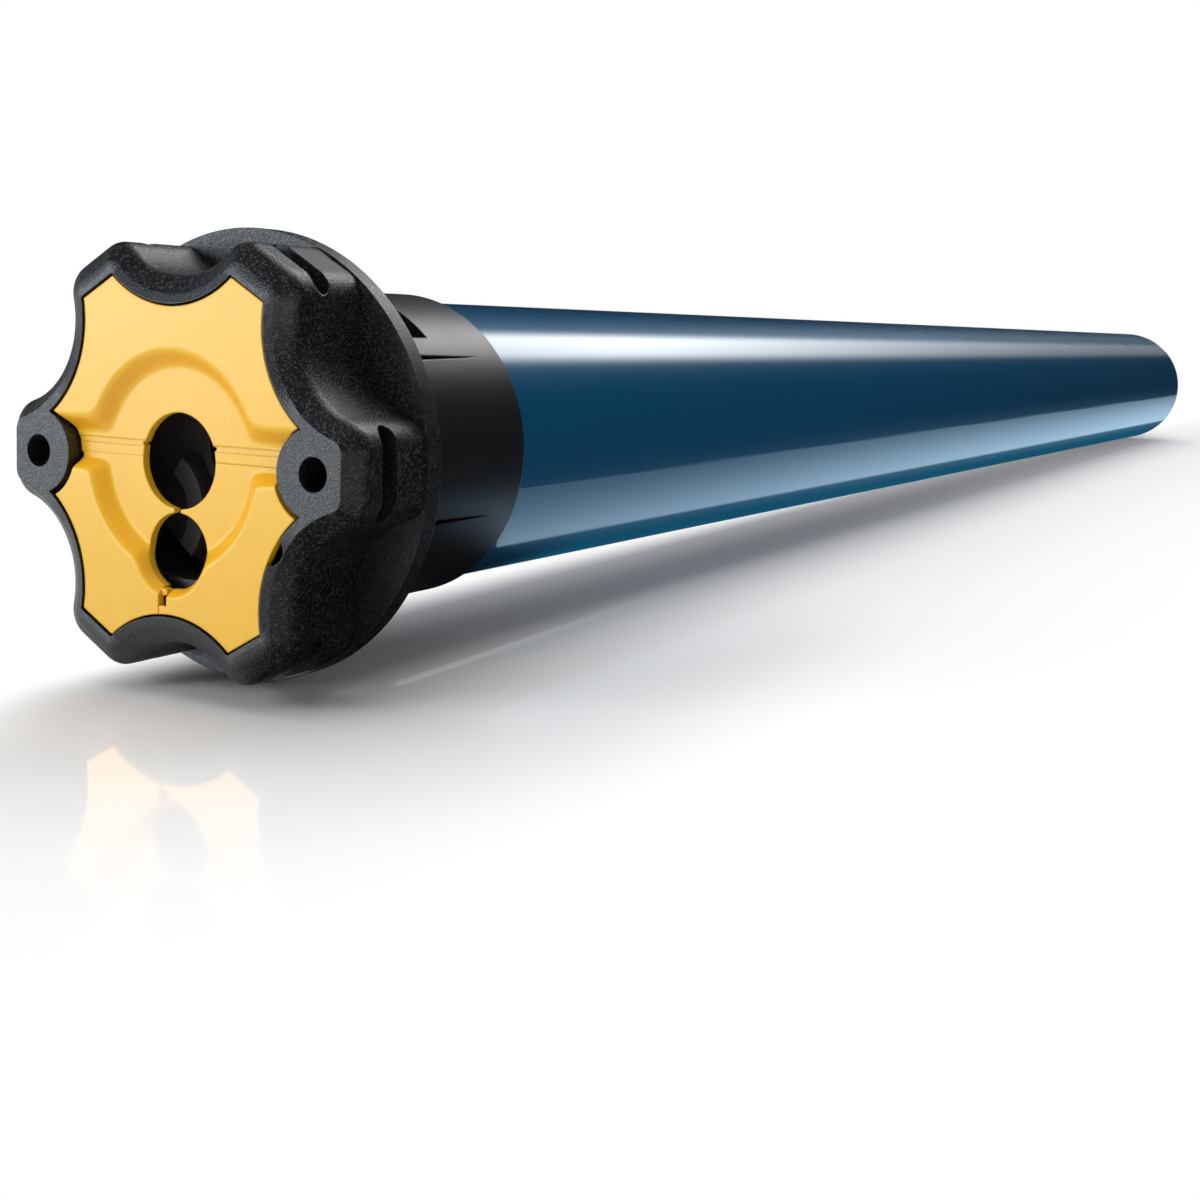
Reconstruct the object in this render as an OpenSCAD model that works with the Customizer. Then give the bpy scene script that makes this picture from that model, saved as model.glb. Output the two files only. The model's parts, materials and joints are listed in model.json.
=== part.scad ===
// Tubular motor for a roller blind. A six-lobed head with a yellow face cap carries a turning
// crown ring and a painted tube. In the tube are the control board, the run capacitor, the
// motor, its brake and a gearbox of three planet stages that turns the output shaft.
// The motor lies along +Y: its face is the plane y = 0 and the output shaft is at the far end.
// Sizes are millimetres. Angles run from +X towards +Z, as seen when facing the head.

/* [Head] */
// Depth of the lobed body from its face to the flange
star_len = 15.5; // [14:0.5:20]
// Distance from the axis to the flat tips of the face cap
lobe_tip = 27.5; // [27:0.1:28.5]
// Distance from the axis to the centre of each scallop
scallop_at = 38.5; // [38:0.1:39.5]
// Radius of the scallops along the edge of the face cap
scallop_r = 17.1; // [16.6:0.1:17.4]
// Width of the black rim around the face cap
rim_w = 4.5; // [4:0.1:5.2]
// Rounding of the front edge of the rim
rim_round = 3.3; // [1:0.1:3.6]
// How far the flange stands out past the lobes
flange_reach = 1.2; // [0.5:0.1:6]
// Thickness of the flange
flange_t = 2.9; // [2:0.1:5]
// Distance between the two bracket screws
screw_gap = 51.2; // [50:0.2:52]
// Radius of the bracket screw holes
screw_r = 2.35; // [1.5:0.05:2.8]
// Depth of the bracket screw holes
screw_depth = 12; // [8:0.5:14]
// Radius of the boss around each bracket screw hole
boss_r = 6.2; // [5.6:0.1:6.6]
// Length of the clip slot across each lobe
slot_len = 13; // [9:0.5:14]
// Width of the clip slots
slot_w = 3.4; // [2:0.1:4]
// Distance from the face to the middle of the clip slots
slot_at = 7.2; // [6:0.1:9]
// Depth of the clip slots
slot_depth = 3; // [1:0.1:3.4]
// Length of the pry notch along the rim
pry_len = 4.6; // [2:0.1:6]
// Reach of the pry notch into the rim
pry_reach = 2.4; // [1:0.1:3]
// Depth of the pry notch
pry_depth = 2.2; // [1:0.1:4]
// Radius of the cable chamber behind the face cap
chamber_r = 17; // [16.4:0.1:17.8]
// Thickness of the bulkhead behind the cable chamber
bulkhead_t = 2.5; // [1.5:0.1:4]
// Radius of the hollow in the neck
neck_in = 15; // [14:0.1:15.5]
// Middle of the cable guide rib across the head
rib_x = -11.3; // [-12:0.1:-11]
// Middle of the cable guide rib along the height
rib_z = -8.2; // [-9:0.1:-8]
// Radius of the cable guide rib along its middle
rib_bend = 8.3; // [7:0.1:8.4]
// Width of the cable guide rib
rib_t = 3; // [1:0.1:3.2]
// Height of the cable guide rib above the bulkhead
rib_h = 4.4; // [1:0.1:6]
// Angle where the cable guide rib starts
rib_from = -40; // [-45:1:-20]
// Sweep of the cable guide rib
rib_sweep = 95; // [60:1:100]

/* [Face cap] */
// Depth of the yellow face below the rim
cap_sink = 0.8; // [0.2:0.1:1.2]
// Thickness of the yellow plate at its raised fields
cap_t = 3.4; // [3:0.1:4.5]
// Depth of the round valley below the raised fields
valley_depth = 2.2; // [1:0.1:2.3]
// Radius of the valley floor
valley_r = 13.4; // [12.6:0.1:13.6]
// Width of the sloped wall around the valley
cove_w = 2.2; // [1:0.1:2.4]
// Height of the upper edge of the side valleys
side_top = 4.4; // [4:0.1:5]
// Height of the lower edge of the side valleys
side_low = -1.6; // [-2:0.1:-1]
// Width of the sloped wall along the side valleys
side_wall = 1; // [0.4:0.1:1.2]
// Radius of the main cable hole
hole_r = 6.8; // [6:0.1:6.9]
// Radius of the small cable hole
low_hole_r = 5.4; // [4.5:0.1:5.5]
// Distance from the axis down to the small cable hole
low_hole_at = 12.7; // [12.6:0.1:13]
// Width of the recess ledge around the small cable hole
low_ledge = 0.5; // [0.2:0.1:0.8]
// Width of the sloped wall around that recess
low_cove = 1.5; // [0.6:0.1:1.8]
// Width of the slit between the two holes
web_slit = 1.3; // [0.6:0.1:2]
// Offset of that slit from the middle
web_at = -0.25; // [-1:0.05:1]
// Width of the slit under the small hole
low_slit = 1.7; // [1.2:0.1:2.4]
// Offset of that slit from the middle
low_slit_at = -2.35; // [-3:0.05:2.5]
// Radius of the round tongue beside the lower slit
tongue_r = 0.75; // [0.3:0.05:0.8]
// Height of the film hinge line above the axis
hinge_z = 2.1; // [1.6:0.1:2.6]
// Half width of the groove along the film hinge
groove_half = 0.5; // [0.45:0.05:0.7]
// Depth of that groove
groove_depth = 0.4; // [0.2:0.05:0.4]

/* [Crown] */
// Radius of the crown ring
crown_r = 24.75; // [24.4:0.05:26]
// Length of the crown ring
crown_len = 34.3; // [31:0.1:40]
// Length of the toothed part inside the crown
crown_teeth_len = 6; // [4:0.5:8]
// Length of the plain relief past the counter's pocket
crown_relief = 0.8; // [0.4:0.1:4]
// Depth of that relief below the roots of the crown's teeth
relief_step = 0.15; // [0.1:0.05:0.3]
// Gap between the neck and the tips of the crown's teeth
crown_tip_gap = 0.1; // [0.06:0.02:0.3]
// Number of teeth inside the crown
crown_teeth = 58; // [56:1:59]
// Number of teeth on the counter pinion
pinion_teeth = 12; // [10:1:14]
// Angle of the first slit in the crown
slit_from = 37.5; // [30:0.5:45]
// Number of slits around the crown
slit_count = 6; // [3:1:8]
// Length of each slit
slit_len = 27.7; // [10:0.1:29]
// Width of each slit at the flange
slit_w = 1.5; // [0.5:0.1:2.5]
// Depth of each slit
slit_depth = 1.2; // [0.4:0.1:1.3]
// Angle of the key notch in the crown
key_angle = 57; // [54:0.5:60]
// Width of the key notch
key_w = 9; // [4:0.1:10]
// Length of the key notch
key_len = 18; // [8:0.1:22]
// Depth of the key notch
key_depth = 1.5; // [0.5:0.1:1.6]

/* [Counter] */
// Radius of the pin that carries the counter pinion
counter_pin_r = 1; // [0.7:0.05:1.3]
// Length of the magnet on the counter pinion
magnet_len = 4; // [2:0.5:6]
// Radius of the magnet on the counter pinion
magnet_r = 3.6; // [3:0.1:4.5]
// Thickness of the sensor ring beside the magnet
sensor_t = 1.2; // [0.8:0.1:2]
// How far the counter pin goes into the walls
counter_pin_seat = 2; // [1:0.1:2.4]

/* [Tube] */
// Outer radius of the motor tube
tube_r = 23.5; // [23.4:0.05:24.2]
// Wall of the motor tube
tube_wall = 1; // [0.8:0.05:1.1]
// Length of the motor tube
tube_len = 552; // [545:1:900]
// Width of the notch in the far rim
nick_w = 6; // [2:0.5:10]
// Depth of the notch in the far rim
nick_len = 1.2; // [0.5:0.1:2]
// Angle of the notch in the far rim
nick_angle = 50; // [0:1:360]
// Length of the plug in the near end of the tube
plug_len = 20; // [14:1:24]
// Thickness of the plug under its screw heads
plug_floor = 5; // [3:0.5:8]
// Radius of the lead opening in the plug
plug_in = 13.5; // [12:0.1:13.8]
// Number of plug screws
plug_screws_n = 3; // [2:1:4]
// Radius of the shank of the plug screws
plug_screw_r = 1.3; // [0.8:0.05:1.5]
// Radius of the head of the plug screws
plug_head_r = 2.6; // [2:0.1:2.8]
// Height of the head of the plug screws
plug_head_t = 2; // [1:0.1:3]
// How far the plug screws go into the neck
plug_bite = 9; // [5:0.5:12]
// Angle of the first plug screw
plug_screw_from = 30; // [20:1:40]

/* [Cable socket] */
// Place of the socket across the head
socket_x = 3; // [3:0.1:4]
// Place of the socket along the height
socket_z = 2; // [2:0.1:3]
// Radius of the socket
socket_r = 7.2; // [6.4:0.1:7.2]
// How far the socket stands out in front of the bulkhead
socket_nose = 2; // [0.5:0.1:3]
// Length of the socket behind the bulkhead
socket_tail = 9; // [6:0.5:14]
// Width of the collar behind the bulkhead
socket_collar = 1.3; // [0.6:0.1:1.5]
// Thickness of that collar
socket_collar_t = 2.2; // [1:0.1:3]
// Radius of the hollow in the socket
socket_in = 5.6; // [5:0.1:5.8]
// Thickness of the back wall of the socket
socket_back = 3; // [2:0.1:4]
// Number of contact pins
pin_n = 4; // [3:1:4]
// Radius of the contact pins
pin_r = 0.8; // [0.4:0.05:1]
// Distance from the socket's middle to the contact pins
pin_at = 3.2; // [2.4:0.1:3.8]
// Length of the pins inside the socket
pin_len = 6; // [3:0.5:7]
// Length of the pins behind the socket
pin_tail = 3; // [1:0.5:5]

/* [Control board] */
// Wall of the board tray
tray_wall = 1.6; // [1:0.1:2]
// Height of the rim of the tray above the axis
tray_top = 2; // [0:0.5:4]
// Width of the control board
board_w = 36; // [34:0.5:37]
// Thickness of the control board
board_t = 1.6; // [1:0.1:2.4]
// Height of the underside of the board
board_z = -5; // [-6:0.1:-4]
// Gap between each end of the board and the tray
board_end = 4; // [1:0.5:8]
// Width of the rails under the board
rail_w = 3; // [1.5:0.5:5]
// Height of the rails under the board
rail_h = 4; // [2:0.5:6]
// Width of a relay across the board
relay_w = 15; // [8:0.5:18]
// Length of a relay along the board
relay_l = 19; // [12:0.5:20]
// Height of a relay above the board
relay_h = 15; // [8:0.5:16]
// Distance between the two relays
relay_step = 24; // [20:0.5:40]
// Distance from the board's near end to the first relay
relay_from = 40; // [30:1:60]
// Width of the transformer across the board
transformer_w = 24; // [16:0.5:24]
// Length of the transformer along the board
transformer_l = 30; // [20:0.5:36]
// Height of the transformer above the board
transformer_h = 20; // [10:0.5:20]
// Distance from the board's near end to the transformer
transformer_from = 92; // [90:1:100]
// Width of the terminal block across the board
terminal_w = 24; // [18:0.5:28]
// Length of the terminal block along the board
terminal_l = 10; // [6:0.5:14]
// Height of the terminal block above the board
terminal_h = 12; // [10:0.5:16]
// Distance from the board's near end to the terminal block
terminal_from = 12; // [6:1:18]
// Radius of the filter capacitor
filter_r = 6; // [3:0.5:8]
// Height of the filter capacitor
filter_h = 16; // [8:0.5:18]
// Distance from the board's near end to the filter capacitor
filter_from = 138; // [130:1:150]
// Radius of a lead
lead_r = 0.9; // [0.5:0.05:1.2]
// Distance between neighbouring leads
lead_step = 4; // [3:0.1:5]
// Number of motor leads
motor_lead_n = 3; // [1:1:3]
// Height of the motor leads above the axis
motor_lead_z = 20; // [18:0.1:20.4]

/* [Run capacitor] */
// Radius of the run capacitor
capacitor_r = 15; // [12:0.5:16]
// Length of the run capacitor
capacitor_len = 62; // [50:1:66]
// Gap between the run capacitor and the rotor shaft
capacitor_gap = 4; // [2:0.5:10]
// Length of the capacitor holder
holder_len = 56; // [40:1:60]
// Thickness of the end wall of the holder
holder_wall = 3; // [2:0.5:5]
// Width of the lead groove in the holder and the shields
groove_w = 12; // [11:0.5:14]
// Depth of the lead groove
lead_groove = 5.4; // [5:0.1:5.8]

/* [Motor] */
// Length of the stator core
core_len = 90; // [60:1:110]
// Radius of the bore of the stator
bore_r = 12.1; // [11.5:0.1:12.6]
// Air gap between the rotor and the stator
air_gap = 0.3; // [0.3:0.05:0.5]
// Number of winding slots in the stator
slots_n = 12; // [6:1:16]
// Radius of the winding slots
slot_r = 2; // [1:0.1:2.4]
// Distance from the axis to the winding slots
slots_at = 16.2; // [15.8:0.1:17]
// Length of the winding heads at each end
head_len = 8; // [5:0.5:10]
// Inner radius of the winding heads
head_in = 13.6; // [13:0.1:14]
// Outer radius of the winding heads
head_out = 18.8; // [18.4:0.1:19]
// Length of the motor shields
shield_len = 18; // [16:0.5:22]
// Thickness of the end wall of the shields
shield_wall = 7; // [6.5:0.5:8]
// Thickness of the rim of the shields
shield_rim = 2.2; // [1.2:0.1:2.8]
// Radius of the rotor shaft
shaft_r = 3; // [2.4:0.1:3.2]
// Radius of the shaft inside the sun pinion
shaft_nose_r = 2; // [1.4:0.1:2.4]
// Radius of the motor bearings
bearing_r = 8; // [7:0.5:9.5]
// Width of the motor bearings
bearing_w = 5; // [3:0.5:6]
// Shaft length in front of the front shield
shaft_stub = 3; // [1:0.5:8]

/* [Brake] */
// Length of the brake housing
brake_len = 28; // [24:0.5:36]
// Wall of the brake housing
brake_wall = 3.4; // [2:0.1:3.6]
// Radius of the brake disc
disc_r = 16; // [13:0.5:17]
// Thickness of the brake disc
disc_t = 4; // [2:0.5:5]
// Gap between the rear shield and the brake disc
disc_gap = 2; // [1:0.5:4]
// Thickness of the sliding armature
armature_t = 4; // [2:0.5:5]
// Gap between the armature and the housing
armature_gap = 0.4; // [0.3:0.05:0.6]
// Width of the guide keys of the armature
guide_w = 4; // [2:0.5:6]
// Height of the guide keys of the armature
guide_h = 1.8; // [1:0.1:2.4]
// Mean radius of the brake spring
spring_r = 10; // [8:0.5:12]
// Wire radius of the brake spring
spring_wire = 0.8; // [0.5:0.05:1]
// Number of turns of the brake spring
spring_turns = 4; // [3:1:6]

/* [Gearbox] */
// Tooth module of all gears
gear_mod = 0.75; // [0.72:0.01:0.77]
// Pressure angle of all gears
gear_angle = 25; // [24:0.5:26]
// Teeth on each sun
sun_teeth = 12; // [11:1:13]
// Teeth on each planet
planet_teeth = 18; // [16:1:18]
// Thinning of each tooth flank
flank_gap = 0.06; // [0.04:0.01:0.1]
// Width of the first planets
face_1 = 10; // [8:0.5:14]
// Width of the second planets
face_2 = 12; // [8:0.5:16]
// Width of the third planets
face_3 = 16; // [10:0.5:20]
// Thickness of the carrier plates
plate_t = 4; // [3:0.5:6]
// Thickness of the output carrier's plate
out_plate_t = 6; // [4:0.5:8]
// Gap along the axis between turning pieces
stage_gap = 0.6; // [0.3:0.1:0.9]
// Gap between the carrier plates and the ring's teeth
plate_gap = 1; // [0.4:0.1:2]
// Radius of the planet pins
planet_pin_r = 2.2; // [1.5:0.1:2.8]
// Thickness of the front wall of the gear case
case_wall = 4; // [3:0.5:6]
// Gap around the sun pinion in the opening of the gear case and the brake
shaft_gap = 0.3; // [0.2:0.05:1]

/* [Output] */
// Thickness of the gear cover
cover_t = 9; // [7:0.5:12]
// Radius of the output shaft in its bush
journal_r = 8; // [6.5:0.1:9]
// Wall of the output bush
bush_wall = 3; // [1.5:0.1:4]
// Thickness of the end ring
ring_t = 8; // [5:0.5:12]
// Depth of the end ring below the far rim of the tube
ring_sink = 2; // [2:0.5:4]
// Length of the shaft outside the tube
out_len = 22; // [14:0.5:40]
// Radius of the drive end
drive_r = 7; // [5.5:0.1:7.8]
// Width across the flats of the drive end
drive_flat = 11; // [8:0.1:11.2]
// Length of the drive end
drive_len = 20; // [14:0.5:20]
// Distance from the shaft's end to the circlip
clip_from = 3; // [2:0.1:5]
// Thickness of the circlip
clip_t = 1; // [0.6:0.1:1.2]
// Depth of the circlip groove
clip_depth = 1.2; // [0.6:0.1:1.4]
// How far the circlip stands out of the shaft
clip_out = 1.6; // [0.8:0.1:2]
// Gap in the circlip
clip_gap = 4; // [2:0.5:6]
// Number of case screws
case_screws_n = 4; // [2:1:6]
// Radius of the shank of the case screws
case_screw_r = 1; // [0.7:0.05:1.1]
// How far the case screws go into the case
case_bite = 12; // [8:0.5:20]
// Depth of the heads of the case screws in the cover
case_head_t = 1.6; // [1:0.1:2]
// Radius of the head of the case screws
case_head_r = 1.55; // [1.5:0.05:1.6]

/* [Fits] */
// Radial clearance of turning shafts and rings
run_fit = 0.05; // [0.03:0.01:0.08]
// Radial clearance between the tube and what sits in it
seat_fit = 0.1; // [0.05:0.05:0.2]
// Gap between the flange and the crown
crown_gap = 0.4; // [0.3:0.1:0.8]
// Gap between the crown and the tube
tube_gap = 0.5; // [0.4:0.1:1]
// Gap around the face cap
cap_fit = 0.35; // [0.2:0.05:0.5]
// Gap between the flaps and the bosses
flap_fit = 0.8; // [0.7:0.05:1.2]
// Gap between the flaps and the upper part of the cap
film_gap = 0.1; // [0.06:0.02:0.2]

/* [Hidden] */
$fn = 72;
// Overshoot of cutting shapes
cut = 1;
// Overlap of pieces of one solid
lap = 0.5;
lobes = 6;
lobe_step = 360 / lobes;
planets = 3;
// Places along the axis, from the head backwards
flange_y1 = star_len + flange_t;
crown_y0 = flange_y1 + crown_gap;
crown_y1 = crown_y0 + crown_len;
neck_y1 = crown_y1 + crown_gap / 2;
tube_y0 = crown_y1 + tube_gap;
tube_y1 = tube_y0 + tube_len;
plug_y1 = neck_y1 + plug_len;
bulkhead_y = star_len - bulkhead_t;
cap_y1 = cap_sink + cap_t;
valley_y = cap_sink + valley_depth;
film_y = valley_y + groove_depth;
// Places along the axis, from the far rim forwards
ring_y1 = tube_y1 - ring_sink;
cover_y1 = ring_y1 - ring_t;
cover_y0 = cover_y1 - cover_t;
out_y1 = cover_y0 - stage_gap;
out_y0 = out_y1 - out_plate_t;
p3_y1 = out_y0 - stage_gap;
p3_y0 = p3_y1 - face_3;
c2_y1 = p3_y0 - stage_gap;
c2_y0 = c2_y1 - plate_t;
p2_y1 = c2_y0 - stage_gap;
p2_y0 = p2_y1 - face_2;
c1_y1 = p2_y0 - stage_gap;
c1_y0 = c1_y1 - plate_t;
p1_y1 = c1_y0 - stage_gap;
p1_y0 = p1_y1 - face_1;
case_in = p1_y0 - stage_gap;
case_y0 = case_in - case_wall;
brake_y0 = case_y0 - brake_len;
core_y1 = brake_y0 - shield_len;
core_y0 = core_y1 - core_len;
shield_y0 = core_y0 - shield_len;
capacitor_y1 = shield_y0 - shaft_stub - capacitor_gap;
capacitor_y0 = capacitor_y1 - capacitor_len;
tray_y1 = capacitor_y0 - holder_wall;
holder_y1 = tray_y1 + holder_len;
shaft_end = tube_y1 + out_len;
// Radii inside the tube
flange_r = lobe_tip + rim_w + flange_reach;
tube_in = tube_r - tube_wall;
seat_r = tube_in - seat_fit;
// Gear sizes
sun_p = gear_mod * sun_teeth / 2;
planet_p = gear_mod * planet_teeth / 2;
ring_teeth = sun_teeth + 2 * planet_teeth;
planet_at = sun_p + planet_p;
crown_p = gear_mod * crown_teeth / 2;
pinion_p = gear_mod * pinion_teeth / 2;
pinion_at = crown_p - pinion_p;
// Height and depth of a tooth in modules
tooth_up = 1;
tooth_down = 1.25;
neck_r = crown_p - tooth_up * gear_mod - crown_tip_gap;
plug_screw_at = (neck_in + neck_r) / 2;
plate_r = gear_mod * (ring_teeth / 2 - tooth_up) - plate_gap;
shaft_hole_r = sun_p + tooth_up * gear_mod + shaft_gap;
// Places of the planets, and how far each gear turns to be in mesh
function planet_angle(i) = let (n = sun_teeth + ring_teeth) round(i * n / planets) * 360 / n;
ring_turn = 180 * planet_teeth / ring_teeth;
pinion_turn = 90 - (crown_teeth / 4 - 1 / 2) * 360 / pinion_teeth;
// Half width of the flat tips of the face cap
scallop_x = scallop_at * cos(lobe_step / 2);
scallop_z = scallop_at * sin(lobe_step / 2);
tip_half = scallop_z - sqrt(scallop_r * scallop_r - pow(scallop_x - lobe_tip, 2));
// Angle that the rim turns through at each corner of a tip
corner_turn = atan2(scallop_z - tip_half, scallop_x - lobe_tip);
// Counter pinion and its pocket
pinion_y0 = crown_y0 + stage_gap;
pinion_y1 = crown_y0 + crown_teeth_len - stage_gap;
magnet_y1 = pinion_y1 + magnet_len;
pocket_y1 = magnet_y1 + stage_gap + sensor_t;
pocket_r = pinion_p + tooth_up * gear_mod + stage_gap;
// Socket
socket_y0 = bulkhead_y - socket_nose;
socket_y1 = star_len + socket_tail;
pin_y1 = socket_y1 + pin_tail;
// Board
board_top = board_z + board_t;
board_y0 = plug_y1 + board_end;
board_y1 = tray_y1 - board_end;
// Brake
disc_y0 = brake_y0 + disc_gap;
disc_y1 = disc_y0 + disc_t;
armature_y1 = disc_y1 + armature_t;
brake_in = seat_r - brake_wall;
case_screw_at = (gear_mod * (ring_teeth / 2 + tooth_down) + seat_r) / 2;
black = "#2b2c2e";
yellow = "#e8b53a";
blue = "#0f5f86";
steel = "#a9adb0";

// Round bar along the axis from y0 to y1
module rod(r, y0, y1, x = 0, z = 0)
  translate([x, y0, z]) rotate([-90, 0, 0]) cylinder(r = r, h = y1 - y0);

// Hollow round bar along the axis
module pipe(ro, ri, y0, y1) difference() {
  rod(ro, y0, y1);
  rod(ri, y0 - cut, y1 + cut);
}

// Flat shape, seen from the face, drawn out from y0 to y1
module slab(y0, y1)
  translate([0, y1, 0]) rotate([90, 0, 0]) linear_extrude(y1 - y0) children();

// Profile of radius and length turned about the axis
module lathe(angle = 360)
  rotate([90, 0, 0]) rotate_extrude(angle = angle) mirror([0, 1, 0]) children();

// Box between two corners
module box(x0, x1, y0, y1, z0, z1)
  translate([x0, y0, z0]) cube([x1 - x0, y1 - y0, z1 - z0]);

// Turns its children to an angle around the axis
module at_angle(a) rotate([0, -a, 0]) children();

// Copies around the axis
module around(n, from = 0) for (i = [0 : n - 1]) at_angle(from + i * 360 / n) children();

// Involute gears
function involute(a) = tan(a) * 180 / PI - a;
function half_tooth(n, r, thin) = let (
    p = gear_mod * n / 2, b = p * cos(gear_angle), q = max(r, b))
  90 / n + involute(gear_angle) - involute(acos(b / q)) - thin / p * 180 / PI;
function tooth_radii(n, low, high) = let (
    b = max(gear_mod * n / 2 * cos(gear_angle), low), s = (high - b) / 3)
  [low, b + s / 4, b + s * 3 / 2, high];
function gear_points(n, low, high, thin) = let (rs = tooth_radii(n, low, high))
  [for (i = [0 : n - 1]) for (k = [0 : 7])
    let (r = rs[k < 4 ? k : 7 - k], s = k < 4 ? -1 : 1,
      a = i * 360 / n + s * half_tooth(n, r, thin))
    r * [cos(a), sin(a)]];
// Outline of a gear with outer teeth
module gear(n) let (p = gear_mod * n / 2)
  polygon(gear_points(n, p - tooth_down * gear_mod, p + tooth_up * gear_mod, flank_gap));
// Outline of the space inside a gear with inner teeth
module inner_gear(n) let (p = gear_mod * n / 2)
  rotate(180 / n)
    polygon(gear_points(n, p - tooth_up * gear_mod, p + tooth_down * gear_mod, -flank_gap));

// Lead of round wire along a list of points
function unit(v) = v / norm(v);
function wire_ring(p, t, r, sides) = let (u = unit(cross(t, [1, 0, 0])), v = cross(t, u))
  [for (k = [0 : sides - 1]) p + r * (cos(360 * k / sides) * u + sin(360 * k / sides) * v)];
module wire(pts, r, sides = 8) {
  last = len(pts) - 1;
  rings = [for (i = [0 : last]) wire_ring(pts[i],
    unit(pts[min(i + 1, last)] - pts[max(i - 1, 0)]), r, sides)];
  points = [for (ring = rings) for (p = ring) p];
  sleeve = [for (i = [0 : last - 1]) for (k = [0 : sides - 1])
    let (a = i * sides + k, b = i * sides + (k + 1) % sides)
    each [[a, b, b + sides], [a, b + sides, a + sides]]];
  ends = [[for (k = [sides - 1 : -1 : 0]) k], [for (k = [0 : sides - 1]) last * sides + k]];
  polyhedron(points, concat(sleeve, ends));
}

// Outline of the yellow face, grown by g
module star(g) difference() {
  rotate(180 / lobes) circle(r = (lobe_tip + g) / cos(180 / lobes), $fn = lobes);
  for (i = [0 : lobes - 1]) rotate((i + 1 / 2) * lobe_step)
    translate([scallop_at, 0]) circle(r = scallop_r - g);
}
module bosses(r) for (s = [-1, 1]) translate([s * screw_gap / 2, 0]) circle(r = r);

// Section of a scallop's space, from its middle out to the rounded front edge of the rim
module scallop_section() {
  r = scallop_r - rim_w;
  difference() {
    translate([0, -cut]) square([r + rim_round, star_len + 2 * cut]);
    translate([r, rim_round]) square([rim_round + cut, star_len + 2 * cut]);
    translate([r + rim_round, rim_round]) circle(r = rim_round);
  }
}

// Lobed body: a disc with a rounded front edge, less the scallops and the corners of the lobes
module lobed_body() difference() {
  r = lobe_tip + rim_w;
  lathe() {
    square([r - rim_round, star_len]);
    translate([0, rim_round]) square([r, star_len - rim_round]);
    translate([r - rim_round, rim_round]) circle(r = rim_round);
  }
  around(lobes) {
    at_angle(lobe_step / 2) translate([scallop_at, 0, 0]) lathe() scallop_section();
    for (s = [0, 1]) mirror([0, 0, s]) translate([lobe_tip, 0, tip_half])
      at_angle(corner_turn / 2) translate([rim_w, -cut, -rim_w])
        cube([rim_w, star_len + 2 * cut, 2 * rim_w]);
  }
}

module clip_slot() {
  floor_r = lobe_tip + rim_w - slot_depth;
  half = (slot_len - slot_w) / 2;
  translate([floor_r, slot_at - slot_w / 2, -half]) cube([slot_depth + cut, slot_w, 2 * half]);
  for (s = [-1, 1]) translate([floor_r, slot_at, s * half]) rotate([0, 90, 0])
    cylinder(r = slot_w / 2, h = slot_depth + cut);
}

// Lobed front of the head, open through the cable chamber
module head_housing() color(black) difference() {
  lobed_body();
  // Pocket of the face cap, round the two bosses
  slab(-cut, cap_y1) difference() {
    star(cap_fit);
    bosses(boss_r);
  }
  rod(chamber_r, cap_y1 - lap, star_len + cut);
  for (s = [-1, 1]) rod(screw_r, -cut, screw_depth, s * screw_gap / 2, 0);
  around(lobes) clip_slot();
  at_angle(-lobe_step / 2) translate([scallop_at - scallop_r - lap, -cut, -pry_len / 2])
    cube([pry_reach + lap, pry_depth + cut, pry_len]);
}

// Flange with the bulkhead in front of it and the neck behind it
module head_flange() color(black) {
  difference() {
    union() {
      rod(chamber_r - seat_fit, bulkhead_y, star_len + lap);
      rod(flange_r, star_len, flange_y1);
      rod(neck_r, flange_y1 - lap, neck_y1);
    }
    rod(neck_in, star_len, neck_y1 + cut);
    rod(socket_r + seat_fit, bulkhead_y - cut, star_len + cut, socket_x, socket_z);
    // Pocket of the counter pinion and the seats of its pin
    rod(pocket_r, flange_y1, pinion_y1 + stage_gap, 0, pinion_at);
    rod(magnet_r + stage_gap, pinion_y1, pocket_y1, 0, pinion_at);
    rod(counter_pin_r, flange_y1 - counter_pin_seat, pocket_y1 + counter_pin_seat, 0, pinion_at);
    around(plug_screws_n, plug_screw_from)
      rod(plug_screw_r, neck_y1 - plug_bite, neck_y1 + cut, plug_screw_at, 0);
  }
  // Rib that leads the cable round to the socket
  translate([rib_x, 0, rib_z]) at_angle(rib_from) lathe(rib_sweep)
    translate([rib_bend - rib_t / 2, bulkhead_y - rib_h]) square([rib_t, rib_h + lap]);
}

// Whole yellow plate with its valleys and holes, before it is parted along the film hinge
module cap_blank(boss_gap) {
  low_r = low_hole_r + low_ledge;
  // Walls slope from the valley floor out to the plane of the rim
  up = valley_y / valley_depth;
  difference() {
    slab(cap_sink, cap_y1) difference() {
      star(0);
      bosses(boss_r + boss_gap);
    }
    lathe() polygon([[0, 0], [valley_r + cove_w * up, 0], [valley_r, valley_y], [0, valley_y]]);
    translate([0, 0, -low_hole_at]) lathe()
      polygon([[0, 0], [low_r + low_cove * up, 0], [low_r, valley_y], [0, valley_y]]);
    // Side valleys out to the bosses
    translate([-lobe_tip, 0, 0]) rotate([90, 0, 90]) linear_extrude(2 * lobe_tip)
      polygon([[cap_sink, side_top], [valley_y, side_top - side_wall],
        [valley_y, side_low + side_wall], [cap_sink, side_low], [cap_sink - cut, side_low],
        [cap_sink - cut, side_top]]);
    rod(hole_r, -cut, cap_y1 + cut);
    rod(low_hole_r, -cut, cap_y1 + cut, 0, -low_hole_at);
    box(-lobe_tip, lobe_tip, valley_y - lap, film_y, hinge_z - groove_half, hinge_z + groove_half);
  }
}

module face_cap() color(yellow) difference() {
  cap_blank(cap_fit);
  box(-lobe_tip, lobe_tip, -cut, cap_y1 + cut, -2 * lobe_tip, hinge_z + film_gap / 2);
}

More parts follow.
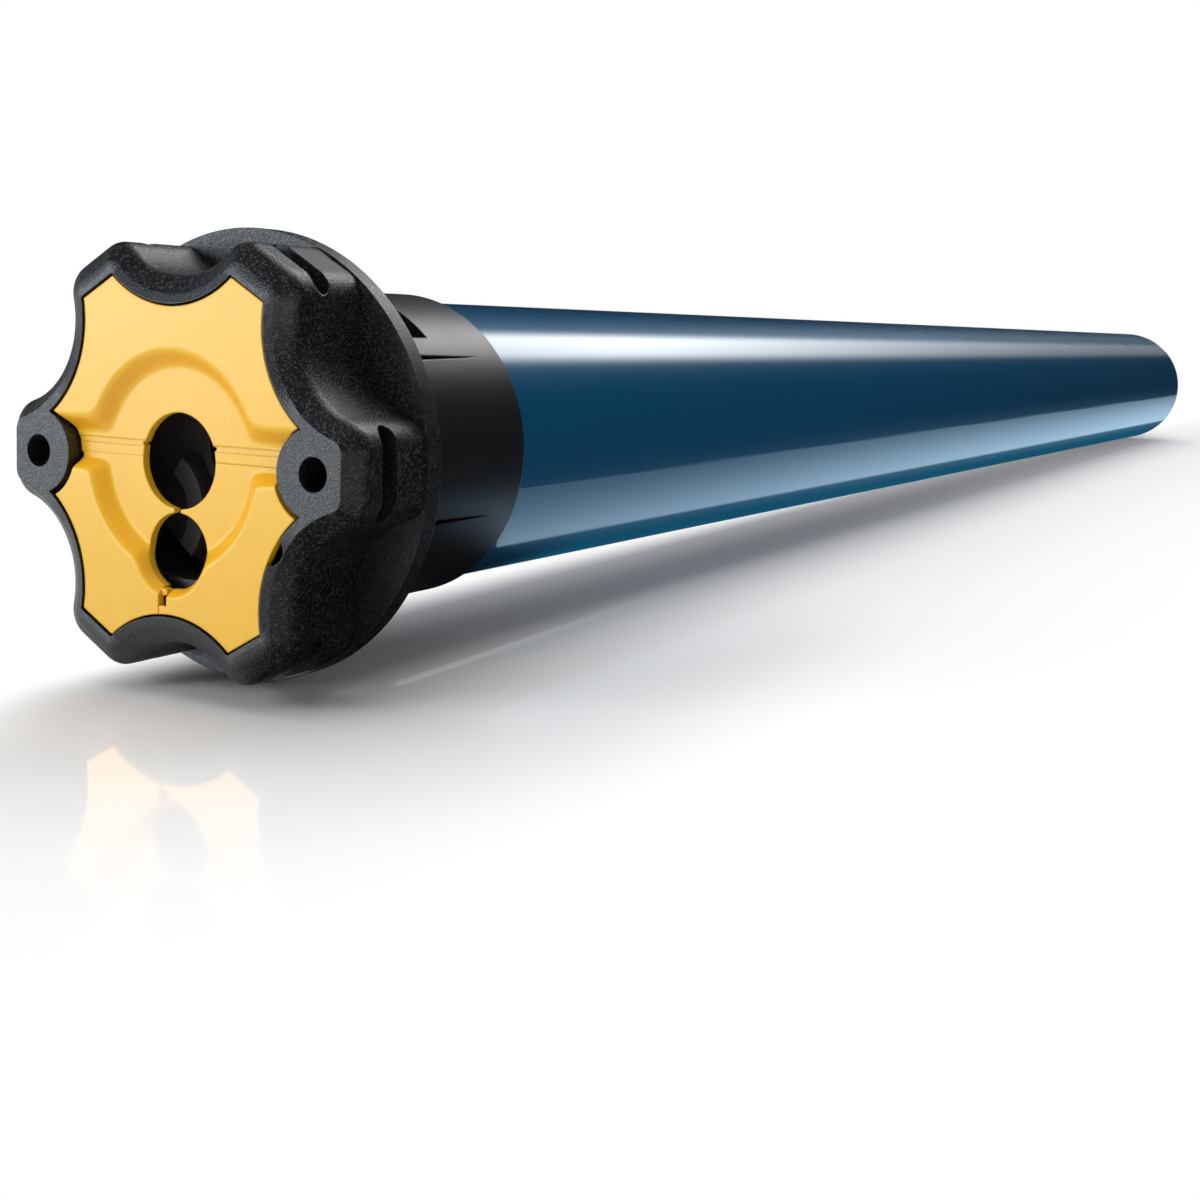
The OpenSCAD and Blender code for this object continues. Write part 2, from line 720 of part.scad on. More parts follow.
module cap_flap_left() color(yellow) {
  web = web_at - web_slit / 2;
  low = low_slit_at - low_slit / 2;
  difference() {
    cap_blank(flap_fit);
    box(-lobe_tip, lobe_tip, -cut, cap_y1 + cut, hinge_z - film_gap / 2, 2 * lobe_tip);
    box(web, lobe_tip, -cut, cap_y1 + cut, -low_hole_at, 2 * lobe_tip);
    box(low, lobe_tip, -cut, cap_y1 + cut, -2 * lobe_tip, -low_hole_at + lap);
  }
  rod(tongue_r, valley_y, cap_y1, low, -low_hole_at - low_hole_r - low_ledge - tongue_r / 2);
}

module cap_flap_right() color(yellow) {
  web = web_at + web_slit / 2;
  low = low_slit_at + low_slit / 2;
  difference() {
    cap_blank(flap_fit);
    box(-lobe_tip, lobe_tip, -cut, cap_y1 + cut, hinge_z - film_gap / 2, 2 * lobe_tip);
    box(-lobe_tip, web, -cut, cap_y1 + cut, -low_hole_at, 2 * lobe_tip);
    box(-lobe_tip, low, -cut, cap_y1 + cut, -2 * lobe_tip, -low_hole_at + lap);
  }
}

module cable_socket() color("#3a3b3d") translate([socket_x, 0, socket_z]) difference() {
  union() {
    rod(socket_r, socket_y0, socket_y1);
    rod(socket_r + socket_collar, star_len, star_len + socket_collar_t);
  }
  rod(socket_in, socket_y0 - cut, socket_y1 - socket_back);
  around(pin_n, 180 / pin_n)
    rod(pin_r, socket_y1 - socket_back - cut, socket_y1 + cut, pin_at, 0);
}

module socket_pins() color("#c9a24a") translate([socket_x, 0, socket_z])
  around(pin_n, 180 / pin_n) rod(pin_r, socket_y1 - socket_back - pin_len, pin_y1, pin_at, 0);

module crown_ring() color("#4a4c4e") {
  bore_y0 = pocket_y1 + crown_relief;
  difference() {
    rod(crown_r, crown_y0, crown_y1);
    slab(crown_y0 - cut, crown_y0 + crown_teeth_len + lap) inner_gear(crown_teeth);
    rod(crown_p + tooth_down * gear_mod + relief_step, crown_y0 + crown_teeth_len, bore_y0);
    rod(neck_r + run_fit, bore_y0 - cut, crown_y1 + cut);
    around(slit_count, slit_from) translate([crown_r - slit_depth, 0, 0]) rotate([90, 0, 90])
      linear_extrude(slit_depth + cut) polygon([[crown_y0 - cut, -slit_w / 2],
        [crown_y0 + slit_len, 0], [crown_y0 - cut, slit_w / 2]]);
    at_angle(key_angle) translate([crown_r - key_depth, crown_y0 - cut, -key_w / 2])
      cube([key_depth + cut, key_len + cut, key_w]);
  }
}

module counter_pinion() color("#d8d4c8") translate([0, 0, pinion_at]) difference() {
  slab(pinion_y0, pinion_y1) rotate(pinion_turn) gear(pinion_teeth);
  rod(counter_pin_r + run_fit, pinion_y0 - cut, pinion_y1 + cut);
}

module counter_magnet() color("#5a5a5c") translate([0, 0, pinion_at])
  pipe(magnet_r, counter_pin_r + run_fit, pinion_y1, magnet_y1);

module counter_pin() color(steel)
  rod(counter_pin_r, flange_y1 - counter_pin_seat, pocket_y1 + counter_pin_seat, 0, pinion_at);

module counter_sensor() color("#2f6b46") translate([0, 0, pinion_at])
  pipe(magnet_r, counter_pin_r, pocket_y1 - sensor_t, pocket_y1);

module tube_plug() color(black) difference() {
  rod(seat_r, neck_y1, plug_y1);
  rod(plug_in, neck_y1 - cut, plug_y1 + cut);
  around(plug_screws_n, plug_screw_from) {
    rod(plug_screw_r, neck_y1 - cut, plug_y1 + cut, plug_screw_at, 0);
    rod(plug_head_r + seat_fit, neck_y1 + plug_floor, plug_y1 + cut, plug_screw_at, 0);
  }
}

module plug_screws() color(steel) around(plug_screws_n, plug_screw_from) {
  rod(plug_screw_r, neck_y1 - plug_bite, neck_y1 + plug_floor + lap, plug_screw_at, 0);
  rod(plug_head_r, neck_y1 + plug_floor, neck_y1 + plug_floor + plug_head_t, plug_screw_at, 0);
}

module motor_tube() color(blue) difference() {
  pipe(tube_r, tube_in, tube_y0, tube_y1);
  at_angle(nick_angle) translate([tube_in - cut, tube_y1 - nick_len, -nick_w / 2])
    cube([tube_wall + 2 * cut, nick_len + cut, nick_w]);
}

module board_tray() color("#55585a") {
  difference() {
    pipe(seat_r, seat_r - tray_wall, plug_y1, tray_y1);
    box(-tube_r, tube_r, plug_y1 - cut, tray_y1 + cut, tray_top, tube_r);
  }
  for (s = [-1, 1]) intersection() {
    rod(seat_r - lap, plug_y1, tray_y1);
    translate([s * (board_w - rail_w) / 2, 0, 0])
      box(-rail_w / 2, rail_w / 2, plug_y1, tray_y1, board_z - rail_h, board_z);
  }
  for (s = [-1, 1]) intersection() {
    rod(seat_r - lap, plug_y1, tray_y1);
    translate([s * (board_w / 2 + rail_w / 2), 0, 0])
      box(-rail_w / 2, rail_w / 2, plug_y1, tray_y1, board_z - rail_h, board_z + board_t / 2);
  }
}

module control_board() color("#1f6b3e")
  box(-board_w / 2, board_w / 2, board_y0, board_y1, board_z, board_top);

// Block on the board, its size given across, along and up
module on_board(size, from)
  translate([-size[0] / 2, board_y0 + from, board_top]) cube(size);

module relays() color("#2b4f9c") for (i = [0, 1])
  on_board([relay_w, relay_l, relay_h], relay_from + i * relay_step);
module board_transformer() color("#c9b04a")
  on_board([transformer_w, transformer_l, transformer_h], transformer_from);
module terminal_block() color("#3f8f4f")
  on_board([terminal_w, terminal_l, terminal_h], terminal_from);
module filter_capacitor() color("#26282c")
  translate([0, board_y0 + filter_from, board_top]) cylinder(r = filter_r, h = filter_h);

// Leads from the contact pins over the plug's opening to the terminal block
module supply_leads() color("#8a5a34") {
  mid = (pin_y1 + plug_y1) / 2;
  end_y = board_y0 + terminal_from;
  end_z = board_top + terminal_h / 2;
  for (i = [0 : pin_n - 1]) {
    a = 180 / pin_n + i * 360 / pin_n;
    px = socket_x + pin_at * cos(a);
    pz = socket_z + pin_at * sin(a);
    // The pins on the right go to the right, the upper pair outside the lower pair
    ex = sign(cos(a)) * lead_step * (sin(a) > 0 ? 3 : 1) / 2;
    wire([[px, pin_y1, pz], [px, pin_y1 + plug_floor, pz],
      [(px + ex) / 2, mid, (pz + end_z) / 2], [ex, plug_y1, end_z], [ex, end_y, end_z]], lead_r);
  }
}

// Leads from the board's far end over the capacitor holder to the winding head
module motor_leads() color("#a03a2c") {
  start_y = board_y1 - board_end;
  rise_y = board_y0 + filter_from + filter_r + lead_step;
  end_y = core_y0 - head_len;
  end_z = (head_in + head_out) / 2;
  for (i = [0 : motor_lead_n - 1]) {
    x = (i - (motor_lead_n - 1) / 2) * lead_step;
    // Each starts upright on the board and ends square on the winding head
    wire([[x, rise_y, board_top], [x, rise_y, board_top + lead_step / 2],
      [x, rise_y + lead_step / 2, board_top + lead_step],
      [x, start_y, motor_lead_z - lead_step], [x, tray_y1 - lead_step / 4, motor_lead_z],
      [x, holder_y1, motor_lead_z], [x, shield_y0 + shield_wall - lead_step / 4, motor_lead_z],
      [x, end_y - lead_step / 4, end_z], [x, end_y, end_z]], lead_r);
  }
}

module run_capacitor() color("#d9d9d4")
  rod(capacitor_r, capacitor_y0, capacitor_y1);

// Groove along the top of the inner pieces, where the motor leads pass
module lead_channel(y0, y1)
  box(-groove_w / 2, groove_w / 2, y0, y1, seat_r - lead_groove, tube_r);

module capacitor_holder() color("#3c3e40") difference() {
  rod(seat_r, tray_y1, holder_y1);
  rod(capacitor_r + seat_fit, capacitor_y0, holder_y1 + cut);
  lead_channel(tray_y1 - cut, holder_y1 + cut);
}

// Cup that closes one end of the stator, with its opening towards +Y
module shield(y0) {
  y1 = y0 + shield_len;
  difference() {
    rod(seat_r, y0, y1);
    rod(seat_r - shield_rim, y0 + shield_wall, y1 + cut);
    rod(bearing_r, y0 + shield_wall - bearing_w, y1);
    rod(shaft_r + air_gap, y0 - cut, y1);
  }
}
module front_shield() color("#9a9d9f") difference() {
  shield(shield_y0);
  lead_channel(shield_y0 - cut, core_y0 - shield_rim);
}
module rear_shield() color("#9a9d9f")
  translate([0, core_y1 + brake_y0, 0]) mirror([0, 1, 0]) shield(core_y1);
module front_bearing() color(steel)
  pipe(bearing_r, shaft_r + run_fit, shield_y0 + shield_wall - bearing_w, shield_y0 + shield_wall);
module rear_bearing() color(steel)
  pipe(bearing_r, shaft_r + run_fit, brake_y0 - shield_wall, brake_y0 - shield_wall + bearing_w);

module stator_core() color("#6f7274") difference() {
  pipe(seat_r, bore_r, core_y0, core_y1);
  around(slots_n) rod(slot_r, core_y0 - cut, core_y1 + cut, slots_at, 0);
}
module stator_windings() color("#b0682f") {
  around(slots_n) rod(slot_r, core_y0 - lap, core_y1 + lap, slots_at, 0);
  pipe(head_out, head_in, core_y0 - head_len, core_y0);
  pipe(head_out, head_in, core_y1, core_y1 + head_len);
}

module rotor_core() color("#7d8082") pipe(bore_r - air_gap, shaft_r, core_y0, core_y1);
module rotor_shaft() color(steel) {
  rod(shaft_r, shield_y0 - shaft_stub, case_in);
  rod(shaft_nose_r, case_in - lap, p1_y1);
}
module sun_pinion() color("#b9a878") difference() {
  slab(case_in, p1_y1) gear(sun_teeth);
  rod(shaft_nose_r, case_in - cut, p1_y1 + cut);
}
module brake_disc() color("#8c5a3c") pipe(disc_r, shaft_r, disc_y0, disc_y1);

module brake_housing() color("#55585a") {
  difference() {
    rod(seat_r, brake_y0, case_y0);
    rod(brake_in, brake_y0 - cut, case_y0 - brake_wall);
    rod(shaft_hole_r, brake_y0, case_y0 + cut);
  }
  for (s = [-1, 1]) intersection() {
    rod(seat_r - lap, disc_y1, case_y0);
    box(s > 0 ? brake_in - guide_h : -seat_r, s > 0 ? seat_r : guide_h - brake_in,
      disc_y1, case_y0 - lap, -guide_w / 2, guide_w / 2);
  }
}
module brake_armature() color("#6f7274") difference() {
  pipe(brake_in - armature_gap, shaft_hole_r, disc_y1, armature_y1);
  for (s = [-1, 1]) translate([s * brake_in, 0, 0])
    box(-guide_h - armature_gap, guide_h + armature_gap, disc_y1 - cut, armature_y1 + cut,
      -guide_w / 2 - armature_gap, guide_w / 2 + armature_gap);
}
// Coil between the armature and the end wall of the brake housing
module brake_spring() color(steel) {
  y0 = armature_y1 + spring_wire;
  y1 = case_y0 - brake_wall - spring_wire;
  n = spring_turns * 16;
  wire([for (i = [0 : n]) let (a = i * 360 / 16, q = i / n)
    [spring_r * cos(a), y0 + (y1 - y0) * q, spring_r * sin(a)]], spring_wire, 6);
}

module gear_case() color("#8a8d8f") difference() {
  rod(seat_r, case_y0, cover_y0);
  slab(case_in, cover_y0 + cut) rotate(ring_turn) inner_gear(ring_teeth);
  rod(shaft_hole_r, case_y0 - cut, case_in + cut);
  around(case_screws_n) rod(case_screw_r, cover_y0 - case_bite, cover_y0 + cut, case_screw_at, 0);
}

// Plate with its planet pins towards the motor
module carrier(y0, y1, pins_y0) {
  rod(plate_r, y0, y1);
  for (i = [0 : planets - 1]) at_angle(planet_angle(i))
    rod(planet_pin_r, pins_y0, y0 + lap, planet_at, 0);
}
module carrier_1() color("#b9bcbe") {
  carrier(c1_y0, c1_y1, p1_y0);
  slab(c1_y1 - lap, p2_y1) gear(sun_teeth);
}
module carrier_2() color("#b9bcbe") {
  carrier(c2_y0, c2_y1, p2_y0);
  slab(c2_y1 - lap, p3_y1) gear(sun_teeth);
}
module output_carrier() color("#b9bcbe") {
  drive_y0 = shaft_end - drive_len;
  carrier(out_y0, out_y1, p3_y0);
  rod(journal_r, out_y1 - lap, drive_y0);
  difference() {
    intersection() {
      rod(drive_r, drive_y0 - lap, shaft_end);
      box(-drive_flat / 2, drive_flat / 2, drive_y0 - cut, shaft_end + cut, -drive_r, drive_r);
    }
    difference() {
      rod(drive_r + cut, shaft_end - clip_from - clip_t, shaft_end - clip_from);
      rod(drive_r - clip_depth, shaft_end - clip_from - 2 * clip_t, shaft_end);
    }
  }
}
// Planet in mesh with the sun and the ring, at its place around the axis
module planet(y0, y1, i) {
  a = planet_angle(i);
  turn = 180 - 180 / planet_teeth + a * sun_teeth / planet_teeth;
  at_angle(a) translate([planet_at, 0, 0]) difference() {
    slab(y0, y1) rotate(turn) gear(planet_teeth);
    rod(planet_pin_r + run_fit, y0 - cut, y1 + cut);
  }
}
module planet_1a() color("#d8d4c8") planet(p1_y0, p1_y1, 0);
module planet_1b() color("#d8d4c8") planet(p1_y0, p1_y1, 1);
module planet_1c() color("#d8d4c8") planet(p1_y0, p1_y1, 2);
module planet_2a() color("#b9bcbe") planet(p2_y0, p2_y1, 0);
module planet_2b() color("#b9bcbe") planet(p2_y0, p2_y1, 1);
module planet_2c() color("#b9bcbe") planet(p2_y0, p2_y1, 2);
module planet_3a() color("#b9bcbe") planet(p3_y0, p3_y1, 0);
module planet_3b() color("#b9bcbe") planet(p3_y0, p3_y1, 1);
module planet_3c() color("#b9bcbe") planet(p3_y0, p3_y1, 2);

module gear_cover() color("#9a9d9f") difference() {
  rod(seat_r, cover_y0, cover_y1);
  rod(journal_r + run_fit + bush_wall, cover_y0 - cut, cover_y1 + cut);
  around(case_screws_n) {
    rod(case_screw_r, cover_y0 - cut, cover_y1 + cut, case_screw_at, 0);
    rod(case_head_r, cover_y1 - case_head_t, cover_y1 + cut, case_screw_at, 0);
  }
}
module output_bush() color("#a9803c")
  pipe(journal_r + run_fit + bush_wall, journal_r + run_fit, cover_y0, cover_y1);
module case_screws() color(steel) around(case_screws_n) {
  rod(case_screw_r, cover_y0 - case_bite, cover_y1 - case_head_t + lap, case_screw_at, 0);
  rod(case_head_r, cover_y1 - case_head_t, cover_y1, case_screw_at, 0);
}
module end_ring() color(black) pipe(seat_r, journal_r + air_gap, cover_y1, ring_y1);
module output_circlip() color(steel) difference() {
  pipe(drive_r + clip_out, drive_r - clip_depth, shaft_end - clip_from - clip_t,
    shaft_end - clip_from);
  box(-clip_gap / 2, clip_gap / 2, tube_y1, shaft_end, 0, tube_r);
}

head_housing();
head_flange();
face_cap();
cap_flap_left();
cap_flap_right();
cable_socket();
socket_pins();
crown_ring();
counter_pinion();
counter_magnet();
counter_pin();
counter_sensor();
tube_plug();
plug_screws();
motor_tube();
board_tray();
control_board();
relays();
board_transformer();
terminal_block();
filter_capacitor();
supply_leads();
motor_leads();
run_capacitor();
capacitor_holder();
front_shield();
rear_shield();
front_bearing();
rear_bearing();
stator_core();
stator_windings();
rotor_core();
rotor_shaft();
sun_pinion();
brake_disc();
brake_housing();
brake_armature();
brake_spring();
gear_case();
carrier_1();
carrier_2();
output_carrier();
planet_1a();
planet_1b();
planet_1c();
planet_2a();
planet_2b();
planet_2c();
planet_3a();
planet_3b();
planet_3c();
gear_cover();
output_bush();
case_screws();
end_ring();
output_circlip();
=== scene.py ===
# %% [markdown]
# # A tubular roller blind motor, dressed in Blender
# The motor is a long blue tube with a black head. The head is a star of six lobes around a yellow
# face cap, and a dark crown ring turns behind it. The CAD frame already holds every piece at its
# true size, so it is loaded first and nothing in it is moved. What Blender adds is the soft edges,
# the moulded curves of the yellow cap, and finishes that behave like plastic, lacquer and steel.

# %% Load the frame
import json
import math
import bmesh
import bpy
from mathutils import Matrix, Vector


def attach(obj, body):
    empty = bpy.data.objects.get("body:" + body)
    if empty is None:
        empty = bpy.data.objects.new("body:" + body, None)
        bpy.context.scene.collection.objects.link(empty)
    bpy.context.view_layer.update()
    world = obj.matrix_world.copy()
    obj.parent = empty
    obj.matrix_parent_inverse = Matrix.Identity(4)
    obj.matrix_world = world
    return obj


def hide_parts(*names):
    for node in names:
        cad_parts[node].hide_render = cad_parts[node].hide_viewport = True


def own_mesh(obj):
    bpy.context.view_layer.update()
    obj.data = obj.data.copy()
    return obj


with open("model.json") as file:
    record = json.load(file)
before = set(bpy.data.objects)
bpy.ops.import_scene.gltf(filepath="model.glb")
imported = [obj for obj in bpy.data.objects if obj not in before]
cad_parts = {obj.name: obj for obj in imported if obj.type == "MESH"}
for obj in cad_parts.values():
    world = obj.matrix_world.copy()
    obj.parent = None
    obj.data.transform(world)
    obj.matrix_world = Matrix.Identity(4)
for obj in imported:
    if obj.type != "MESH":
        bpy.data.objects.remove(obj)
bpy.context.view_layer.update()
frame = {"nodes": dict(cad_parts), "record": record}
nodes = frame["nodes"]
MM = 0.001

# %% [markdown]
# ## The camera
# The photograph is taken close to the head with a normal lens, so the tube shrinks quickly towards
# its far end. The camera's place and direction were worked out from the circles of the flange, the
# crown and the tube. The picture's horizon lies above its middle: the camera looks down by about five
# degrees, and a small downward shift of its frame gives the rest.

# %% Place the camera
camera_data = bpy.data.cameras.new("photo_camera")
camera = bpy.data.objects.new("photo_camera", camera_data)
bpy.context.scene.collection.objects.link(camera)
forward = Vector((-0.49058933, 0.86630278, -0.09402976)).normalized()
right = Vector((0.8683942, 0.49498893, 0.02962203)).normalized()
up = right.cross(forward)
camera.matrix_world = Matrix((
    (right.x, up.x, -forward.x, 164.063 * MM),
    (right.y, up.y, -forward.y, -168.150 * MM),
    (right.z, up.z, -forward.z, 20.729 * MM),
    (0, 0, 0, 1)))
camera_data.sensor_width = 36
camera_data.lens = 49.377
camera_data.shift_y = -0.10
camera_data.clip_start = 0.005
bpy.context.scene.camera = camera
bpy.context.scene.view_settings.view_transform = "Standard"
print("camera at", [round(v, 3) for v in camera.location], "lens", camera_data.lens)

# %% [markdown]
# ## Writing finishes as sums
# A finish is a small graph of nodes. Wiring it by hand is slow to read, so one class wraps a node's
# output and lets it be added, multiplied and compared like a number. Each sum adds one Math node.
# Everything that is not a sum goes through one method that makes any node from its type, its
# settings and its inputs. An input is named, with _ for a space, or numbered as i0, i1 and so on.


# %% A socket that can be used in sums
class Wire:
    def __init__(self, tree, socket):
        self.tree, self.socket = tree, socket

    def node(self, kind, settings=None, out=0, **inputs):
        made = self.tree.nodes.new("ShaderNode" + kind)
        for name, value in (settings or {}).items():
            setattr(made, name, value)
        for name, value in inputs.items():
            place = int(name[1:]) if name[0] == "i" and name[1:].isdigit() else name.replace("_", " ")
            if isinstance(value, Wire):
                self.tree.links.new(value.socket, made.inputs[place])
            else:
                made.inputs[place].default_value = value
        return Wire(self.tree, made.outputs[out])

    def sum(self, operation, first, second=0.0, third=0.0):
        return self.node("Math", {"operation": operation}, i0=first, i1=second, i2=third)

    def __add__(self, other): return self.sum("ADD", self, other)
    def __radd__(self, other): return self.sum("ADD", other, self)
    def __sub__(self, other): return self.sum("SUBTRACT", self, other)
    def __rsub__(self, other): return self.sum("SUBTRACT", other, self)
    def __mul__(self, other): return self.sum("MULTIPLY", self, other)
    def __rmul__(self, other): return self.sum("MULTIPLY", other, self)
    def __truediv__(self, other): return self.sum("DIVIDE", self, other)
    def __lt__(self, other): return self.sum("LESS_THAN", self, other)
    def __gt__(self, other): return self.sum("GREATER_THAN", self, other)
    def __abs__(self): return self.sum("ABSOLUTE", self)

    def between(self, low, high):
        return self.node("MapRange", {"interpolation_type": "SMOOTHSTEP"}, i0=self, i1=low, i2=high)

    def blend(self, low, high):
        return self.node("Mix", {"data_type": "RGBA"}, out=2, i0=self, i6=low, i7=high)


# %% [markdown]
# A new material starts with the shader, the object's own coordinates in metres and their three
# parts. Object coordinates keep the grain at its true size and still when the piece moves. The
# rounded edge comes from a Bevel node: it bends the normal near an edge, so a sharp modelled edge
# catches light as a moulded one does.


# %% Start and finish a material
class Finish:
    def __init__(self, name, **sockets):
        self.material = bpy.data.materials.new(name)
        self.material.use_nodes = True
        self.tree = self.material.node_tree
        self.shader = self.tree.nodes["Principled BSDF"]
        for socket, value in sockets.items():
            self.shader.inputs[socket.replace("_", " ")].default_value = value
        start = Wire(self.tree, None)
        self.place = start.node("TexCoord", out=3)
        self.x, self.y, self.z = (start.node("SeparateXYZ", out=i, i0=self.place) for i in range(3))
        self.make = start.node

    def noise(self, scale, detail=2.0, rough=0.5):
        return self.make("TexNoise", Vector=self.place, Scale=scale, Detail=detail, Roughness=rough)

    def grain(self, scale):
        return self.make("TexVoronoi", {"feature": "F1"}, Vector=self.place, Scale=scale)

    def bump(self, height, strength, distance, edge):
        soft = self.make("Bevel", {"samples": 6}, Radius=edge)
        return self.make("Bump", Strength=strength, Distance=distance, Height=height, Normal=soft)

    def give(self, **wires):
        for name, wire in wires.items():
            self.tree.links.new(wire.socket, self.shader.inputs[name.replace("_", " ")])
        print("finish:", self.material.name, "nodes:", len(self.tree.nodes))
        return self.material


# %% [markdown]
# ## Black moulded plastic of the head
# The head is black plastic from an etched mould. Close up it has a fine sparkle of grain, and its
# rounded edges catch the light. A Voronoi pattern of about a fifth of a millimetre
# makes the grain, and its random cell colours pick the few grains that sparkle. A slow noise varies
# how matt it is, because one even value looks like painted card. The wall of the cable chamber is
# painted a paler grey, a painted light in that shaded recess, so that it can be made out through the cable
# holes.

# %% Head plastic
finish = Finish("head_plastic", Specular_IOR_Level=0.68)
GRAIN, CHAMBER_WALL, CHAMBER_Y = 4600, 16.95, (8.5, 13.2)
speck = finish.grain(GRAIN)
cells = finish.make("TexVoronoi", out=1, Vector=finish.place, Scale=GRAIN)
spark = finish.make("SeparateColor", i0=cells)
cloud = finish.noise(90, 3)
tone = (0.55 * speck + 0.45 * cloud).blend((0.0032, 0.0035, 0.0042, 1), (0.010, 0.0108, 0.0125, 1))
tone = (spark > 0.80).blend(tone, (0.034, 0.036, 0.040, 1))
round_r = finish.x.sum("SQRT", finish.x * finish.x + finish.z * finish.z)
# Painted light: the chamber wall is painted paler grey so the shaded recess shows through the cable holes.
inside = (finish.y > CHAMBER_Y[0] * MM) * (finish.y < CHAMBER_Y[1] * MM) * (round_r < CHAMBER_WALL * MM)
tone = inside.blend(tone, (0.075, 0.072, 0.070, 1))
head_plastic = finish.give(
    Base_Color=tone, Roughness=0.26 + 0.08 * cloud + 0.26 * spark,
    Normal=finish.bump(speck, 0.6, 0.00006, 0.00025))

# %% [markdown]
# ## Yellow plastic of the face cap
# The cap is a soft satin yellow. It is smoother than the head, with a faint flow mottle, and it
# is painted a deeper orange where it is hollow, a painted shade for the light that bounces between
# its own walls. The two fine lines of the film hinge are pressed into the valley floor, so they are
# drawn in the bump, and in the colour as painted shade, by their height, and only where the surface lies as
# deep as the valley.

# %% Cap plastic
HINGE_Z, HINGE_GROOVE = 2.1, 0.42
finish = Finish("cap_plastic", Specular_IOR_Level=0.5)
mottle = finish.noise(160, 4, 0.6)
fine = finish.noise(2600, 2)
# Painted shade: the cove walls between the flats and the valley floor are tinted a deeper orange.
cove_shade = finish.y.between(0.00035, 0.0008) * finish.y.between(0.0021, 0.0017)
# Painted shade: the two hinge lines are darkened in the colour along the groove edges, and they also shape
# the bump.
hinge_lines_and_shade = sum((abs(finish.z - z * MM).between(0.00020, 0.00006)
             for z in (HINGE_Z - HINGE_GROOVE, HINGE_Z + HINGE_GROOVE)), 0.0)
hinge_lines_and_shade = hinge_lines_and_shade * (finish.y > 0.0016) * (finish.y < 0.0024)
tone = (mottle * 0.8).blend((0.83, 0.46, 0.014, 1), (0.89, 0.52, 0.022, 1))
tone = (cove_shade * 0.5).blend(tone, (0.88, 0.38, 0.010, 1))
tone = (hinge_lines_and_shade * 0.16).blend(tone, (0.45, 0.19, 0.008, 1))
cap_plastic = finish.give(
    Base_Color=tone, Roughness=0.29 + 0.10 * mottle,
    Normal=finish.bump(0.25 * fine + 0.2 * mottle - 0.3 * hinge_lines_and_shade, 0.45, 0.00012, 0.00035))

# %% [markdown]
# ## Satin plastic of the crown
# The crown is moulded smooth, so it is greyer and shinier than the head. Fine turning marks run
# round it, and a faint parting seam crosses it. Stretching the noise along the ring gives the marks.

# %% Crown plastic
SEAM_Y = 30.2
finish = Finish("crown_plastic", Specular_IOR_Level=0.5)
rings = finish.make("TexNoise", Vector=finish.make("VectorMath", {"operation": "MULTIPLY"},
                    i0=finish.place, i1=(60, 2600, 60)), Scale=1.0, Detail=2.0)
cloud = finish.noise(120, 3)
seam = abs(finish.y - SEAM_Y * MM).between(0.00025, 0.00005)
tone = (0.5 * cloud + 0.5 * rings).blend((0.006, 0.0063, 0.007, 1), (0.013, 0.0135, 0.0145, 1))
crown_plastic = finish.give(
    Base_Color=tone, Roughness=0.30 + 0.08 * cloud + 0.05 * rings,
    Normal=finish.bump(0.5 * rings - 0.8 * seam, 0.20, 0.00008, 0.0004))

# %% [markdown]
# ## Blue lacquer of the tube
# The tube is steel with a deep blue stove lacquer. The colour is dark, a clear coat lies on it, and
# dust under the lacquer leaves small specks. The coat keeps reflections sharp while the lacquer
# under it stays soft, which is what makes the long white highlight and its blue edge.

# %% Tube lacquer
finish = Finish("tube_lacquer", Specular_IOR_Level=0.15, Coat_Roughness=0.05, Coat_IOR=1.45,
                Coat_Tint=(0.80, 0.93, 1.0, 1))
dust = finish.grain(900)
specks = dust.between(0.10, 0.04)
orange_peel = finish.noise(420, 2)
cloud = finish.noise(14, 3)
tone = cloud.blend((0.0010, 0.060, 0.128, 1), (0.0016, 0.070, 0.148, 1))
tone = (specks * 0.25).blend(tone, (0.05, 0.14, 0.22, 1))
tube_lacquer = finish.give(
    Base_Color=tone, Roughness=0.30 + 0.08 * cloud, Coat_Weight=0.8 + 0.2 * cloud,
    Normal=finish.bump(orange_peel + 0.4 * specks, 0.05, 0.00008, 0.0003))

# %% [markdown]
# ## Metals and inner plastics
# The rest is mostly out of sight: turned steel, cast aluminium, sheet iron, copper, brass, and plain
# mouldings. They share two recipes. A metal gets fine turning marks around the axis, and a moulding
# gets a soft mottle and grain. The colour and the roughness are what tells one from another.


# %% Recipes for metals and mouldings
def metal(name, low, high, roughness, marks=2400):
    made = Finish(name, Metallic=1.0)
    turned = made.make("TexNoise", Vector=made.make("VectorMath", {"operation": "MULTIPLY"},
                       i0=made.place, i1=(120, marks, 120)), Scale=1.0, Detail=3.0)
    stain = made.noise(110, 4, 0.6)
    tone = (0.5 * turned + 0.5 * stain).blend((*low, 1), (*high, 1))
    return made.give(Base_Color=tone, Roughness=roughness - 0.08 + 0.22 * stain,
                     Normal=made.bump(turned, 0.22, 0.00005, 0.00025))


def moulding(name, low, high, roughness):
    made = Finish(name)
    mottle = made.noise(140, 4, 0.6)
    speck = made.grain(2600)
    tone = (0.6 * mottle + 0.4 * speck).blend((*low, 1), (*high, 1))
    return made.give(Base_Color=tone, Roughness=roughness - 0.06 + 0.16 * mottle,
                     Normal=made.bump(0.6 * speck + 0.4 * mottle, 0.25, 0.00006, 0.0003))


